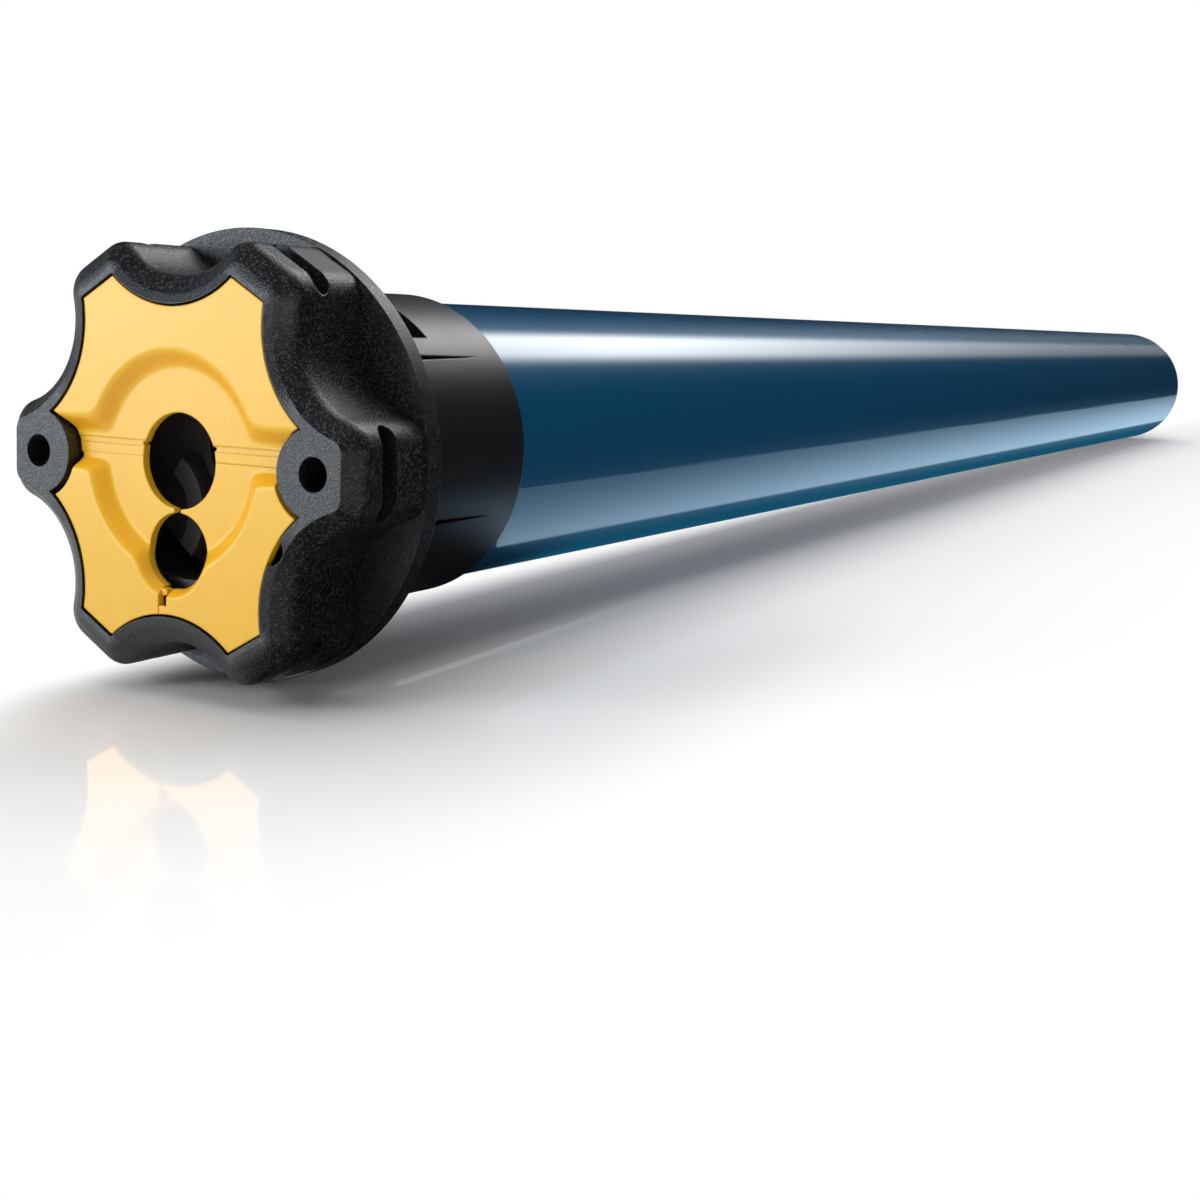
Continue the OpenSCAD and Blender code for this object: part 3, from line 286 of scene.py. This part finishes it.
finishes = {
    "plain_steel": metal("plain_steel", (0.42, 0.43, 0.44), (0.62, 0.63, 0.64), 0.28),
    "sintered_steel": metal("sintered_steel", (0.32, 0.325, 0.33), (0.50, 0.505, 0.51), 0.36, 600),
    "cast_aluminium": metal("cast_aluminium", (0.46, 0.465, 0.47), (0.62, 0.625, 0.63), 0.45, 300),
    "core_iron": metal("core_iron", (0.14, 0.142, 0.145), (0.26, 0.262, 0.265), 0.42, 2000),
    "winding_copper": metal("winding_copper", (0.50, 0.17, 0.05), (0.72, 0.30, 0.10), 0.30, 1400),
    "contact_brass": metal("contact_brass", (0.62, 0.43, 0.15), (0.82, 0.61, 0.26), 0.25),
    "bush_bronze": metal("bush_bronze", (0.40, 0.24, 0.08), (0.56, 0.36, 0.14), 0.38),
    "magnet": metal("magnet", (0.08, 0.08, 0.085), (0.14, 0.14, 0.145), 0.55, 200),
    "socket_grey": moulding("socket_grey", (0.022, 0.0225, 0.024), (0.042, 0.043, 0.045), 0.42),
    "tray_grey": moulding("tray_grey", (0.06, 0.064, 0.068), (0.10, 0.105, 0.11), 0.5),
    "gear_plastic": moulding("gear_plastic", (0.62, 0.58, 0.48), (0.74, 0.71, 0.61), 0.45),
    "board_green": moulding("board_green", (0.010, 0.11, 0.04), (0.02, 0.18, 0.07), 0.3),
    "relay_blue": moulding("relay_blue", (0.02, 0.06, 0.27), (0.04, 0.10, 0.38), 0.35),
    "transformer": moulding("transformer", (0.48, 0.34, 0.05), (0.66, 0.49, 0.10), 0.4),
    "terminal_green": moulding("terminal_green", (0.04, 0.22, 0.06), (0.07, 0.32, 0.10), 0.45),
    "capacitor_black": moulding("capacitor_black", (0.016, 0.017, 0.02), (0.03, 0.032, 0.038), 0.3),
    "capacitor_white": moulding("capacitor_white", (0.60, 0.60, 0.56), (0.74, 0.74, 0.70), 0.35),
    "lead_brown": moulding("lead_brown", (0.20, 0.08, 0.03), (0.30, 0.13, 0.05), 0.5),
    "lead_red": moulding("lead_red", (0.30, 0.035, 0.02), (0.44, 0.06, 0.035), 0.5),
    "friction": moulding("friction", (0.16, 0.08, 0.04), (0.28, 0.15, 0.08), 0.7),
    "head_black": head_plastic, "cap_yellow": cap_plastic,
    "crown_grey": crown_plastic, "tube_blue": tube_lacquer}
for entry in frame["record"]["subparts"]:
    mesh = nodes[entry["node"]].data
    mesh.materials.clear()
    mesh.materials.append(finishes[entry["material_slot"]])

# %% [markdown]
# ## Tools for shaping by hand
# Every new piece is made the way a hand would make it: a primitive is added, shaped in edit mode,
# and cut with Boolean modifiers that are applied at once. A few small helpers keep that readable. One
# adds a primitive with nothing else selected, one selects by place, one applies a modifier and one
# carves. Rods and blocks are the usual cutters, given in millimetres. The last helper gives a finished
# piece its smooth shading and its finish, sets it on its body and hides the CAD nodes it stands for.


# %% Add, pick and carve
HAIR = 0.001 * MM


def add_piece(name, add, **sizes):
    bpy.ops.object.select_all(action="DESELECT")
    add(**sizes)
    piece = bpy.context.object
    piece.name = piece.data.name = name
    bpy.ops.object.transform_apply(location=True, rotation=True, scale=True)
    return piece


def pick(piece, kind, test):
    bpy.ops.mesh.select_mode(type=kind)
    bpy.ops.mesh.select_all(action="DESELECT")
    shape = bmesh.from_edit_mesh(piece.data)
    for part in {"VERT": shape.verts, "EDGE": shape.edges, "FACE": shape.faces}[kind]:
        points = [part.co] if kind == "VERT" else [v.co for v in part.verts]
        part.select_set(all(test(p) for p in points))
    shape.select_flush_mode()
    bmesh.update_edit_mesh(piece.data)


def make_active(piece):
    bpy.ops.object.select_all(action="DESELECT")
    piece.select_set(True)
    bpy.context.view_layer.objects.active = piece


def apply_modifier(piece, kind, **settings):
    make_active(piece)
    made = piece.modifiers.new(kind.lower(), kind)
    for name, value in settings.items():
        setattr(made, name, value)
    bpy.ops.object.modifier_apply(modifier=made.name)


def carve(piece, tool, operation="DIFFERENCE"):
    apply_modifier(piece, "BOOLEAN", object=tool, operation=operation, solver="EXACT")
    bpy.data.objects.remove(tool)


def copy_piece(piece, name):
    make_active(piece)
    bpy.ops.object.duplicate()
    bpy.context.object.name = bpy.context.object.data.name = name
    return bpy.context.object


def rod(name, radius, front, back, x=0.0, z=0.0, sides=96):
    return add_piece(name, bpy.ops.mesh.primitive_cylinder_add, vertices=sides, radius=radius * MM,
                     depth=(back - front) * MM, location=(x * MM, (front + back) / 2 * MM, z * MM),
                     rotation=(math.pi / 2, 0, 0))


def block(name, x, y, z, turn=0.0):
    sizes = [(b - a) * MM for a, b in (x, y, z)]
    made = add_piece(name, bpy.ops.mesh.primitive_cube_add, size=1, scale=sizes,
                     location=[(a + b) / 2 * MM for a, b in (x, y, z)])
    if turn:
        made.rotation_euler = (0, -math.radians(turn), 0)
        make_active(made)
        bpy.ops.object.transform_apply(rotation=True)
    return made


def dress(piece, body, slot, replaced, angle=32):
    make_active(piece)
    bpy.ops.object.shade_smooth_by_angle(angle=math.radians(angle))
    apply_modifier(piece, "WEIGHTED_NORMAL", keep_sharp=True)
    piece.data.materials.clear()
    piece.data.materials.append(finishes[slot])
    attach(piece, body)
    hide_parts(*replaced)
    print(piece.name, "faces:", len(piece.data.polygons))


# %% [markdown]
# ## The star
# The head and the cap share one outline: six flat lobe tips joined by round scallops. Drawing it as a
# curve would take dozens of handles. Spin draws it from one point instead. The point is pushed up the
# tip, spun round the corner and then round the scallop, which gives half a lobe. A mirrored copy
# makes the lobe whole, and a spin of copies makes six of them.

# %% Draw the star and give it depth
LOBES, LOBE_TIP, SCALLOP_AT, SCALLOP_R = 6, 27.5, 38.5, 17.1
HALF_LOBE = math.pi / LOBES
SCALLOP_X, SCALLOP_Z = SCALLOP_AT * math.cos(HALF_LOBE), SCALLOP_AT * math.sin(HALF_LOBE)


def star_block(name, grow, front, back, corner, reach=0.0):
    middle = LOBE_TIP + grow + reach - corner
    half = SCALLOP_Z - math.sqrt((SCALLOP_R - grow + corner) ** 2 - (SCALLOP_X - middle) ** 2)
    turn = math.atan2(SCALLOP_Z - half, SCALLOP_X - middle)
    star = add_piece(name, bpy.ops.mesh.primitive_plane_add, size=MM)
    bpy.ops.object.mode_set(mode="EDIT")
    bpy.ops.mesh.select_mode(type="VERT")
    bpy.ops.mesh.select_all(action="SELECT")
    bpy.ops.mesh.merge(type="CENTER")
    bpy.ops.transform.translate(value=((LOBE_TIP + grow + reach) * MM, front * MM, 0))
    bpy.ops.mesh.extrude_region_move(TRANSFORM_OT_translate={"value": (0, 0, half * MM)})
    bpy.ops.mesh.spin(steps=10, angle=turn, axis=(0, 1, 0),
                      center=(middle * MM, front * MM, half * MM))
    bpy.ops.mesh.spin(steps=16, angle=turn - HALF_LOBE, axis=(0, -1, 0),
                      center=(SCALLOP_X * MM, front * MM, SCALLOP_Z * MM))
    bpy.ops.mesh.select_all(action="SELECT")
    bpy.ops.mesh.duplicate()
    bpy.ops.transform.resize(value=(1, 1, -1), center_override=(0, front * MM, 0))
    bpy.ops.mesh.select_all(action="SELECT")
    bpy.ops.mesh.spin(steps=LOBES, angle=math.tau, dupli=True, axis=(0, 1, 0), center=(0, front * MM, 0))
    bpy.ops.mesh.select_all(action="SELECT")
    bpy.ops.mesh.remove_doubles(threshold=0.002 * MM)
    bpy.ops.mesh.edge_face_add()
    bpy.ops.mesh.extrude_region_move(TRANSFORM_OT_translate={"value": (0, (back - front) * MM, 0)})
    bpy.ops.mesh.select_all(action="SELECT")
    bpy.ops.mesh.normals_make_consistent(inside=False)
    bpy.ops.object.mode_set(mode="OBJECT")
    print(name, "corners:", len(star.data.vertices))
    return star


# %% [markdown]
# ## The lobed head
# The black head is one thick moulding. Round the cap runs a narrow land that leans outward a little, and
# outside it the edge slopes away and rolls over into the side. A plain bevel makes the slope and an
# inset lifts the land. A wide bevel rolls the outer edge and a fine one breaks the edge of the land.
# At the two side lobes the land is pushed level, so that it runs into the flat face of the screw boss.
# Then the pocket for the cap is sunk, and it leaves the two round bosses standing.

# %% Roll the rim and sink the pocket
RIM_W, RIM_SLOPE, RIM_DEEP, RIM_LEAN = 4.5, 2.7, 2.3, 0.5
RIM_ROLL, LAND_BREAK, LAND_DEPTH = 1.0, 0.15, 0.3
STAR_LEN, LOBE_REACH, CHAMBER_R = 15.5, 0.8, 17
CAP_FIT, CAP_FRONT, CAP_BACK = 0.42, 0.25, 4.2
SCREW_X, SCREW_R, SCREW_DEPTH = 25.6, 2.35, 12
BOSS_R, BOSS_FROM, BOSS_FADE, BOSS_HALF = 6.2, 20.0, 3.0, 12
head = star_block("head_lobes", RIM_W, RIM_LEAN, STAR_LEN, RIM_W, LOBE_REACH)
bpy.ops.object.mode_set(mode="EDIT")
pick(head, "EDGE", lambda p: p.y < RIM_LEAN * MM + HAIR)
bpy.ops.mesh.bevel(offset=RIM_SLOPE * MM, segments=1, affect="EDGES", clamp_overlap=False)
pick(head, "VERT", lambda p: abs(p.y - (RIM_LEAN + RIM_SLOPE) * MM) < HAIR)
bpy.ops.transform.translate(value=(0, (RIM_DEEP - RIM_SLOPE - RIM_LEAN) * MM, 0))
pick(head, "FACE", lambda p: p.y < RIM_LEAN * MM + HAIR)
bpy.ops.mesh.inset(thickness=(RIM_W - RIM_SLOPE - CAP_FIT) * MM)
bpy.ops.transform.translate(value=(0, -RIM_LEAN * MM, 0))
for level, width, steps in ((RIM_DEEP, RIM_ROLL, 6), (RIM_LEAN, LAND_BREAK, 2)):
    pick(head, "EDGE", lambda p: abs(p.y - level * MM) < HAIR)
    bpy.ops.mesh.bevel(offset=width * MM, segments=steps, affect="EDGES", clamp_overlap=False)
shape = bmesh.from_edit_mesh(head.data)
for point in shape.verts:
    if point.co.y < (RIM_LEAN + LAND_DEPTH) * MM and abs(point.co.z) < BOSS_HALF * MM:
        point.co.y *= 1 - min(max(abs(point.co.x) / MM - BOSS_FROM, 0) / BOSS_FADE, 1)
bmesh.update_edit_mesh(head.data)
bpy.ops.object.mode_set(mode="OBJECT")
pocket = star_block("pocket", CAP_FIT, -1, CAP_BACK, CAP_FIT)
for side in (-1, 1):
    carve(pocket, rod("boss", BOSS_R, -2, CAP_BACK + 1, side * SCREW_X))
carve(head, pocket)
carve(head, rod("chamber", CHAMBER_R, CAP_BACK - 0.5, STAR_LEN + 1, sides=160))
for side in (-1, 1):
    carve(head, rod("screw_hole", SCREW_R, -1, SCREW_DEPTH, side * SCREW_X, sides=48))
print("head faces:", len(head.data.polygons))

# %% [markdown]
# A clip bracket can grip the head instead of screws, so each lobe has a slot with round ends across
# its outer side. The slot's cutter starts as a short rod. Its upper half is moved up and its lower
# half down, and a spin of copies sets one at every lobe. A small notch in the rim lets a screwdriver
# prise the cap out.

# %% Cut the clip slots and the pry notch
SLOT_HALF, SLOT_W, SLOT_AT, SLOT_FLOOR, SLOT_CUT = 4.8, 3.4, 7.2, 29.0, 6
slots = add_piece("clip_slots", bpy.ops.mesh.primitive_cylinder_add, vertices=36, radius=SLOT_W / 2 * MM,
                  depth=SLOT_CUT * MM, location=((SLOT_FLOOR + SLOT_CUT / 2) * MM, SLOT_AT * MM, 0),
                  rotation=(0, math.pi / 2, 0))
bpy.ops.object.mode_set(mode="EDIT")
for side in (-1, 1):
    pick(slots, "VERT", lambda p: p.z * side > HAIR)
    bpy.ops.transform.translate(value=(0, 0, side * SLOT_HALF * MM))
bpy.ops.mesh.select_all(action="SELECT")
bpy.ops.mesh.spin(steps=LOBES, angle=math.tau, dupli=True, axis=(0, 1, 0), center=(0, 0, 0))
bpy.ops.mesh.select_all(action="SELECT")
bpy.ops.mesh.remove_doubles(threshold=0.002 * MM)
bpy.ops.mesh.normals_make_consistent(inside=False)
bpy.ops.object.mode_set(mode="OBJECT")
carve(head, slots)
PRY_AT, PRY_R, PRY_DEPTH = 20.7, 2.5, 2.2
carve(head, rod("pry_notch", PRY_R, -1, PRY_DEPTH,
                PRY_AT * math.cos(HALF_LOBE), -PRY_AT * math.sin(HALF_LOBE)))
dress(head, "frame", "head_black", ["head_housing"])

# %% [markdown]
# ## The yellow cap, before it is parted
# The cap's face is not flat: a round valley and two side valleys are sunk in it, and the walls between
# are soft S-shaped coves that run into each other without a corner. A bevel cannot blend three walls
# like that. So a fine grid is added and every point is pushed back by a smooth function of its place:
# the distance to each valley, a soft minimum of the three, and an S-curve of that. The grid is set a
# little off the middle, so that none of its lines falls on a later cut.

# %% Press the valleys into a grid
VALLEY, VALLEY_R, COVE_W = 1.85, 13.2, 2.5
SIDE_LOW, SIDE_TOP, WALL_LOW, WALL_TOP = -0.5, 3.3, 1.7, 2.4
LOW_AT, LOW_LEDGE, LOW_COVE, BLEND, SHELL = 12.7, 5.0, 1.4, 3.4, 1.2


def valley_share(x, z):
    ways = ((math.hypot(x, z) - VALLEY_R) / COVE_W,
            max((z - SIDE_TOP) / WALL_TOP, (SIDE_LOW - z) / WALL_LOW),
            (math.hypot(x, z + LOW_AT) - LOW_LEDGE) / LOW_COVE)
    near = -math.log(sum(math.exp(-BLEND * min(max(way, -2), 6)) for way in ways)) / BLEND
    near = min(max(near, 0), 1)
    return 1 - (0.5 * near + 0.5 * near * near * (3 - 2 * near))


CELLS, BLANK_SIDE, OFF_X, OFF_Z = 224, 2 * (LOBE_TIP + 0.6) * 1.06, 0.05, 0.03
blank = add_piece("cap_blank", bpy.ops.mesh.primitive_grid_add, x_subdivisions=CELLS, y_subdivisions=CELLS,
                  size=BLANK_SIDE * MM, rotation=(math.pi / 2, 0, 0),
                  location=(OFF_X * MM, 0, OFF_Z * MM))
bpy.ops.object.mode_set(mode="EDIT")
shape = bmesh.from_edit_mesh(blank.data)
for point in shape.verts:
    point.co.y = (CAP_FRONT + VALLEY * valley_share(point.co.x / MM, point.co.z / MM)) * MM
bmesh.update_edit_mesh(blank.data)
bpy.ops.mesh.select_all(action="SELECT")
bpy.ops.mesh.extrude_region_move(TRANSFORM_OT_translate={"value": (0, SHELL * MM, 0)})
bpy.ops.mesh.select_all(action="SELECT")
bpy.ops.mesh.normals_make_consistent(inside=False)
bpy.ops.object.mode_set(mode="OBJECT")
print("grid points:", len(blank.data.vertices))

# %% [markdown]
# The blank is then trimmed to the star, the two cable holes go through it, and the shallow groove of
# the film hinge is cut into it. All of that is common to the three pieces of the cap, so it is done once.

# %% Trim the blank and bore the holes
HOLE_R, LOW_HOLE_R, CAP_GROW, FAR = 6.8, 5.4, 0.1, 40
GROOVE_DEPTH, FILM_END_R, FILM_END_AT = 0.08, 0.3, 0.97
carve(blank, star_block("cap_star", CAP_GROW, -1, CAP_BACK + 1, CAP_GROW), "INTERSECT")
carve(blank, rod("main_hole", HOLE_R, -1, CAP_BACK + 1, sides=128))
carve(blank, rod("low_hole", LOW_HOLE_R, -1, CAP_BACK + 1, 0, -LOW_AT, sides=112))
carve(blank, block("film_groove", (-FAR, FAR), (-1, CAP_FRONT + VALLEY + GROOVE_DEPTH),
                   (HINGE_Z - HINGE_GROOVE, HINGE_Z + HINGE_GROOVE)))
for side in (-1, 1):
    carve(blank, rod("film_end", FILM_END_R, -1, CAP_BACK + 1, side * HOLE_R * FILM_END_AT, HINGE_Z,
                     sides=24))
print("blank faces:", len(blank.data.polygons))

# %% [markdown]
# ## Cap and flaps
# On the real cap the two lower parts bend forward along the film hinge to let the cable in. They are
# separate pieces here, parted near the hinge and along the slits below the holes. The left one ends
# in a small round tab and the right one in a lip that closes the slit below it. Each keeps clear of
# the round bosses, the moving ones by more. The hinge line lies behind the plate, so a straight cut
# would push a turning flap into the cap. The cut is round about the hinge line instead, like the
# knuckle of a door hinge, and the flap's edge slides along it. It is the last cut before the tab,
# because the Boolean solver loses a flap that is cut round before its slits.

# %% Part the blank
WEB, LOW_SLIT, SLIT_RISE, LIP_X, LIP_Z, LIP_RISE = (-0.8, 0.4), (-2.0, -0.5), 0.5, -1.9, -20.4, 0.5
TAB_R, TAB_X, TAB_Z, TAB_ROOT, TAB_Y, TAB_END_Y = 0.5, -1.35, -18.5, 0.3, (0.9, 2.1), (0.85, 2.15)
HINGE_Y, KNUCKLE_R, FILM_GAP, FLAP_ROOM, THROUGH = 3.4, 2.25, 0.006, 0.8, (-2, CAP_BACK + 2)


def knuckle(radius):
    return add_piece("knuckle", bpy.ops.mesh.primitive_cylinder_add, vertices=160, radius=radius * MM,
                     depth=2.2 * FAR * MM, location=(0, HINGE_Y * MM, HINGE_Z * MM),
                     rotation=(0, math.pi / 2, 0))


cap = copy_piece(blank, "cap_upper")
left = copy_piece(blank, "cap_left_flap")
right = copy_piece(blank, "cap_right_flap")
bpy.data.objects.remove(blank)
below = block("below", (-FAR, FAR), THROUGH, (-FAR, HINGE_Z))
carve(below, knuckle(KNUCKLE_R))
carve(cap, below)
for flap, x_web, x_low, z_low in ((left, (WEB[0], FAR), (LOW_SLIT[0], FAR), -FAR),
                                  (right, (-FAR, WEB[1]), (-FAR, LOW_SLIT[1]), LIP_Z)):
    carve(flap, block("above", (-FAR, FAR), THROUGH, (HINGE_Z - FILM_GAP / 2, FAR)))
    carve(flap, block("web", x_web, THROUGH, (-LOW_AT, FAR)))
    carve(flap, block("slit", x_low, THROUGH, (z_low, -LOW_AT + SLIT_RISE)))
carve(right, block("lip_end", (-FAR, LIP_X), THROUGH, (-FAR, LIP_Z + LIP_RISE)))
for piece, gap in ((cap, CAP_FIT), (left, FLAP_ROOM), (right, FLAP_ROOM)):
    for side in (-1, 1):
        carve(piece, rod("boss_room", BOSS_R + gap, -1, CAP_BACK + 1, side * SCREW_X, sides=128))
for flap in (left, right):
    carve(flap, knuckle(KNUCKLE_R + FILM_GAP))
carve(left, block("tab", (LOW_SLIT[0] - TAB_ROOT, TAB_X), TAB_Y, (TAB_Z - TAB_R, TAB_Z + TAB_R)), "UNION")
carve(left, rod("tab_end", TAB_R, *TAB_END_Y, TAB_X, TAB_Z, 32), "UNION")
dress(cap, "frame", "cap_yellow", ["face_cap"])
dress(left, "flap_left", "cap_yellow", ["cap_flap_left"])
dress(right, "flap_right", "cap_yellow", ["cap_flap_right"])

# %% [markdown]
# ## Brake spring
# When the brake opens, its armature presses the coil spring together by half a millimetre. A stiff coil
# would let the armature sink into it. The spring's own wire is copied and merged here, and it stands on
# the frame in place of the CAD spring; it does not shorten.

# %% Copy the brake spring
coil = bpy.data.objects.new("brake_coil", nodes["brake_spring"].data.copy())
bpy.context.collection.objects.link(coil)
make_active(coil)
bpy.ops.object.mode_set(mode="EDIT")
bpy.ops.mesh.select_all(action="SELECT")
bpy.ops.mesh.remove_doubles(threshold=HAIR)
bpy.ops.object.mode_set(mode="OBJECT")
dress(coil, "frame", "plain_steel", ["brake_spring"])
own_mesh(coil)

# %% [markdown]
# ## The tube
# The tube is a plain pipe, but its reflections show every facet, so it gets 256 sides. Its wall comes
# from Solidify, its rims are broken with a small bevel, and a nick in the far rim marks the place of
# the drive.

# %% Draw the tube
TUBE_R, TUBE_WALL, TUBE_Y0, TUBE_Y1, TUBE_BREAK = 23.5, 1.0, 53.6, 605.6, 0.3
NICK_X, NICK_DEPTH, NICK_Z, NICK_TURN = (21, 26), 1.2, (-3, 3), 50
tube = add_piece("lacquered_tube", bpy.ops.mesh.primitive_cylinder_add, vertices=256, radius=TUBE_R * MM,
                 depth=(TUBE_Y1 - TUBE_Y0) * MM, end_fill_type="NOTHING",
                 location=(0, (TUBE_Y0 + TUBE_Y1) / 2 * MM, 0), rotation=(math.pi / 2, 0, 0))
apply_modifier(tube, "SOLIDIFY", thickness=TUBE_WALL * MM, offset=-1.0)
bpy.ops.object.mode_set(mode="EDIT")
pick(tube, "EDGE", lambda p: min(p.y - TUBE_Y0 * MM, TUBE_Y1 * MM - p.y) < HAIR
     and math.hypot(p.x, p.z) > (TUBE_R - 0.01) * MM)
bpy.ops.mesh.bevel(offset=TUBE_BREAK * MM, segments=3, affect="EDGES", clamp_overlap=True)
bpy.ops.object.mode_set(mode="OBJECT")
carve(tube, block("nick", NICK_X, (TUBE_Y1 - NICK_DEPTH, TUBE_Y1 + 1), NICK_Z, NICK_TURN))
dress(tube, "frame", "tube_blue", ["motor_tube"], 40)

# %% [markdown]
# ## The studio
# A pale floor carries the motor, and near the head it is glossy, so the head stands on its own fading
# reflection. The flange is wider than the tube, so the motor leans on its flange and its far rim, and
# the floor is tilted by that small angle under it. Away from the motor the floor goes over into plain
# white, so that it ends in the white background with no line. Distances on the floor are in metres.
#
# Photographers lay cards beside a shiny thing to shape what it mirrors. Here they are painted on the
# floor and only reflections see them. A narrow pale one to the right of the tube makes the light band
# along its lower half. Dark ones beyond it and under the tube give that band its two sharp edges, and
# the one under the tube is dark blue.

# %% Floor
FLANGE_R, FLANGE_BACK, FLOOR_GAP, TUBE_REACH = 33.2, 18.4, 0.2, 0.6
lean = math.atan2(FLANGE_R - TUBE_R, TUBE_Y1 - FLANGE_BACK)
floor = add_piece("studio_floor", bpy.ops.mesh.primitive_grid_add, x_subdivisions=8, y_subdivisions=8, size=9)
floor.rotation_euler = (lean, 0, 0)
floor.location = (0, 0, (-FLANGE_R - FLANGE_BACK * math.tan(lean) - FLOOR_GAP) * MM)
finish = Finish("studio_floor")
dapple = finish.noise(3, 2)
pale = dapple.blend((0.92, 0.92, 0.925, 1), (0.94, 0.94, 0.945, 1))
along = finish.y.sum("MINIMUM", finish.y.sum("MAXIMUM", finish.y, 0.0), TUBE_REACH)
away = finish.x.sum("SQRT", finish.x * finish.x + (finish.y - along) * (finish.y - along))
front = finish.x.sum("SQRT", finish.x * finish.x + finish.y * finish.y)
near_side = 24.0 * finish.x.between(0.01, -0.07) + 1.5 * finish.y.between(0.03, -0.04)
seen = finish.make("LightPath", out="Is Camera Ray")
matt = finish.make("BsdfDiffuse", Color=pale)
mirror = finish.make("BsdfGlossy", Color=(1, 1, 1, 1), Roughness=0.06)
sheen = 0.006 * away.between(0.16, 0.03)
sheen = sheen + 0.30 * front.between(0.16, 0.03) * finish.x.between(0.085, 0.05)
carpet = finish.make("MixShader", i0=sheen, i1=matt, i2=mirror)
white = finish.make("Emission", Color=(1, 1, 1, 1), Strength=1.0)
plain_white = (away * (1.0 + near_side)).between(0.03, 0.26)
plain_white = plain_white.sum("MAXIMUM", plain_white, 0.22 * finish.y.between(0.05, 0.5))
mixed = finish.make("MixShader", i0=seen * plain_white, i1=carpet, i2=white)
shine = finish.make("LightPath", out="Is Glossy Ray")
near_edge = finish.x - 0.008 * finish.y
near_glow = near_edge.between(0.052, 0.0103).blend((0.38, 0.54, 0.675, 1), (0.76, 1.08, 1.35, 1))
pale_card = near_edge.between(0.0118, 0.0138) * near_edge.between(0.0533, 0.0503) * (finish.y > 0.082)
under_tube = near_edge.between(0.020, 0.008) * finish.y.between(0.085, 0.12)
dark_card = under_tube.blend((0.006, 0.008, 0.011, 1), (0.010, 0.11, 0.19, 1))
cards = finish.make("Emission", Color=pale_card.blend(dark_card, near_glow), Strength=1.0)
covered = (finish.x > -0.04) * (finish.y > 0.056)
covered = covered.sum("MAXIMUM", covered, (finish.x > 0.012) * (finish.y > -0.05))
mixed = finish.make("MixShader", i0=shine * covered, i1=mixed, i2=cards)
finish.tree.links.new(mixed.socket, finish.tree.nodes["Material Output"].inputs["Surface"])
floor.data.materials.append(finish.material)
print("floor leans", round(math.degrees(lean), 2), "degrees")

# %% [markdown]
# ## Light
# A soft lamp high at the front left shades the head and the coves of the cap. A wide lamp overhead
# gives the plain light. Both are there for brightness only and are hidden from reflections, so that
# the tube shows the studio and not the lamps. A third one, low at the front left, stands where the
# cap mirrors it, and lays a pale sheen on the yellow. That one is seen in reflections alone.


# %% Lamps
def softbox(name, place, target, size, watts, colour=(1, 1, 1), mirrored=False, matt=True):
    data = bpy.data.lights.new(name, "AREA")
    data.shape, data.size, data.size_y, data.energy = "RECTANGLE", size[0], size[1], watts
    data.color = colour
    lamp = bpy.data.objects.new(name, data)
    bpy.context.scene.collection.objects.link(lamp)
    lamp.location = place
    lamp.rotation_euler = (Vector(target) - Vector(place)).to_track_quat("-Z", "Y").to_euler()
    lamp.visible_glossy, lamp.visible_diffuse = mirrored, matt


softbox("key_box", (-0.52, -0.78, 0.46), (0, 0, 0), (0.5, 0.5), 4.7)
softbox("sheen_box", (-0.40, -0.40, 0.055), (0, 0, 0), (0.32, 0.28), 1.85, (0.80, 0.91, 1.0), True, False)
softbox("top_box", (0.0, 0.25, 0.90), (0, 0.25, 0), (0.9, 1.2), 6.0)

# %% [markdown]
# ## What the lacquer reflects
# A glossy tube is only as good as what it mirrors. The photograph shows three things in it: a long
# white strip lamp that runs parallel to the tube above it, a dark room to the right that ends in a
# sharp line at the floor, and the pale floor. The strip and the dark room are painted in the world.
# A strip parallel to the tube covers all directions whose sideways part is a fixed share of their
# upward part. Light that has already met a matt surface does not see the strip, so the strip shows
# in direct reflections only. The camera itself sees plain white.

# %% World
world = bpy.data.worlds.new("studio")
bpy.context.scene.world = world
world.use_nodes = True
world.cycles.sampling_method = "NONE"
tree = world.node_tree
start = Wire(tree, None)
seen = start.node("LightPath", out="Is Camera Ray")
shine = start.node("LightPath", out="Is Glossy Ray")
through = start.node("LightPath", out="Is Transmission Ray")
aim = start.node("TexCoord", out=0)
east, north, height = (start.node("SeparateXYZ", out=i, i0=aim) for i in range(3))
tilt = east / height.sum("MAXIMUM", height, 0.02)
strip = tilt.between(-0.44, -0.12) * tilt.between(0.50, 0.14)
strip = strip * height.between(0.02, 0.06) * north.between(0.0, 0.25)
straight = start.node("LightPath", out="Diffuse Depth") < 0.5
strip = strip * (0.12 + 0.88 * north.between(1.0, 0.86)) * straight
low_left = east.between(0.12, -0.05) * height.between(0.55, 0.25) * north.between(0.75, 0.35)
room = low_left.blend((0.012, 0.014, 0.018, 1), (0.20, 0.21, 0.22, 1))
shade = east.between(0.05, 0.45) * height.between(0.75, 0.35)
plain = height.between(-0.3, 0.7).blend((0.46, 0.46, 0.462, 1), (0.56, 0.56, 0.56, 1))
plain = (shade * 0.5).blend(plain, (0.05, 0.052, 0.055, 1))
colour = shine.blend(plain, strip.blend(room, (1, 1, 1, 1)))
colour = (seen.sum("MAXIMUM", seen, through)).blend(colour, (1, 1, 1, 1))
backdrop = tree.nodes["Background"]
tree.links.new(colour.socket, backdrop.inputs["Color"])
tree.links.new((1.0 + 4.8 * (strip * shine)).socket, backdrop.inputs["Strength"])
print("lamps:", len(bpy.data.lights))
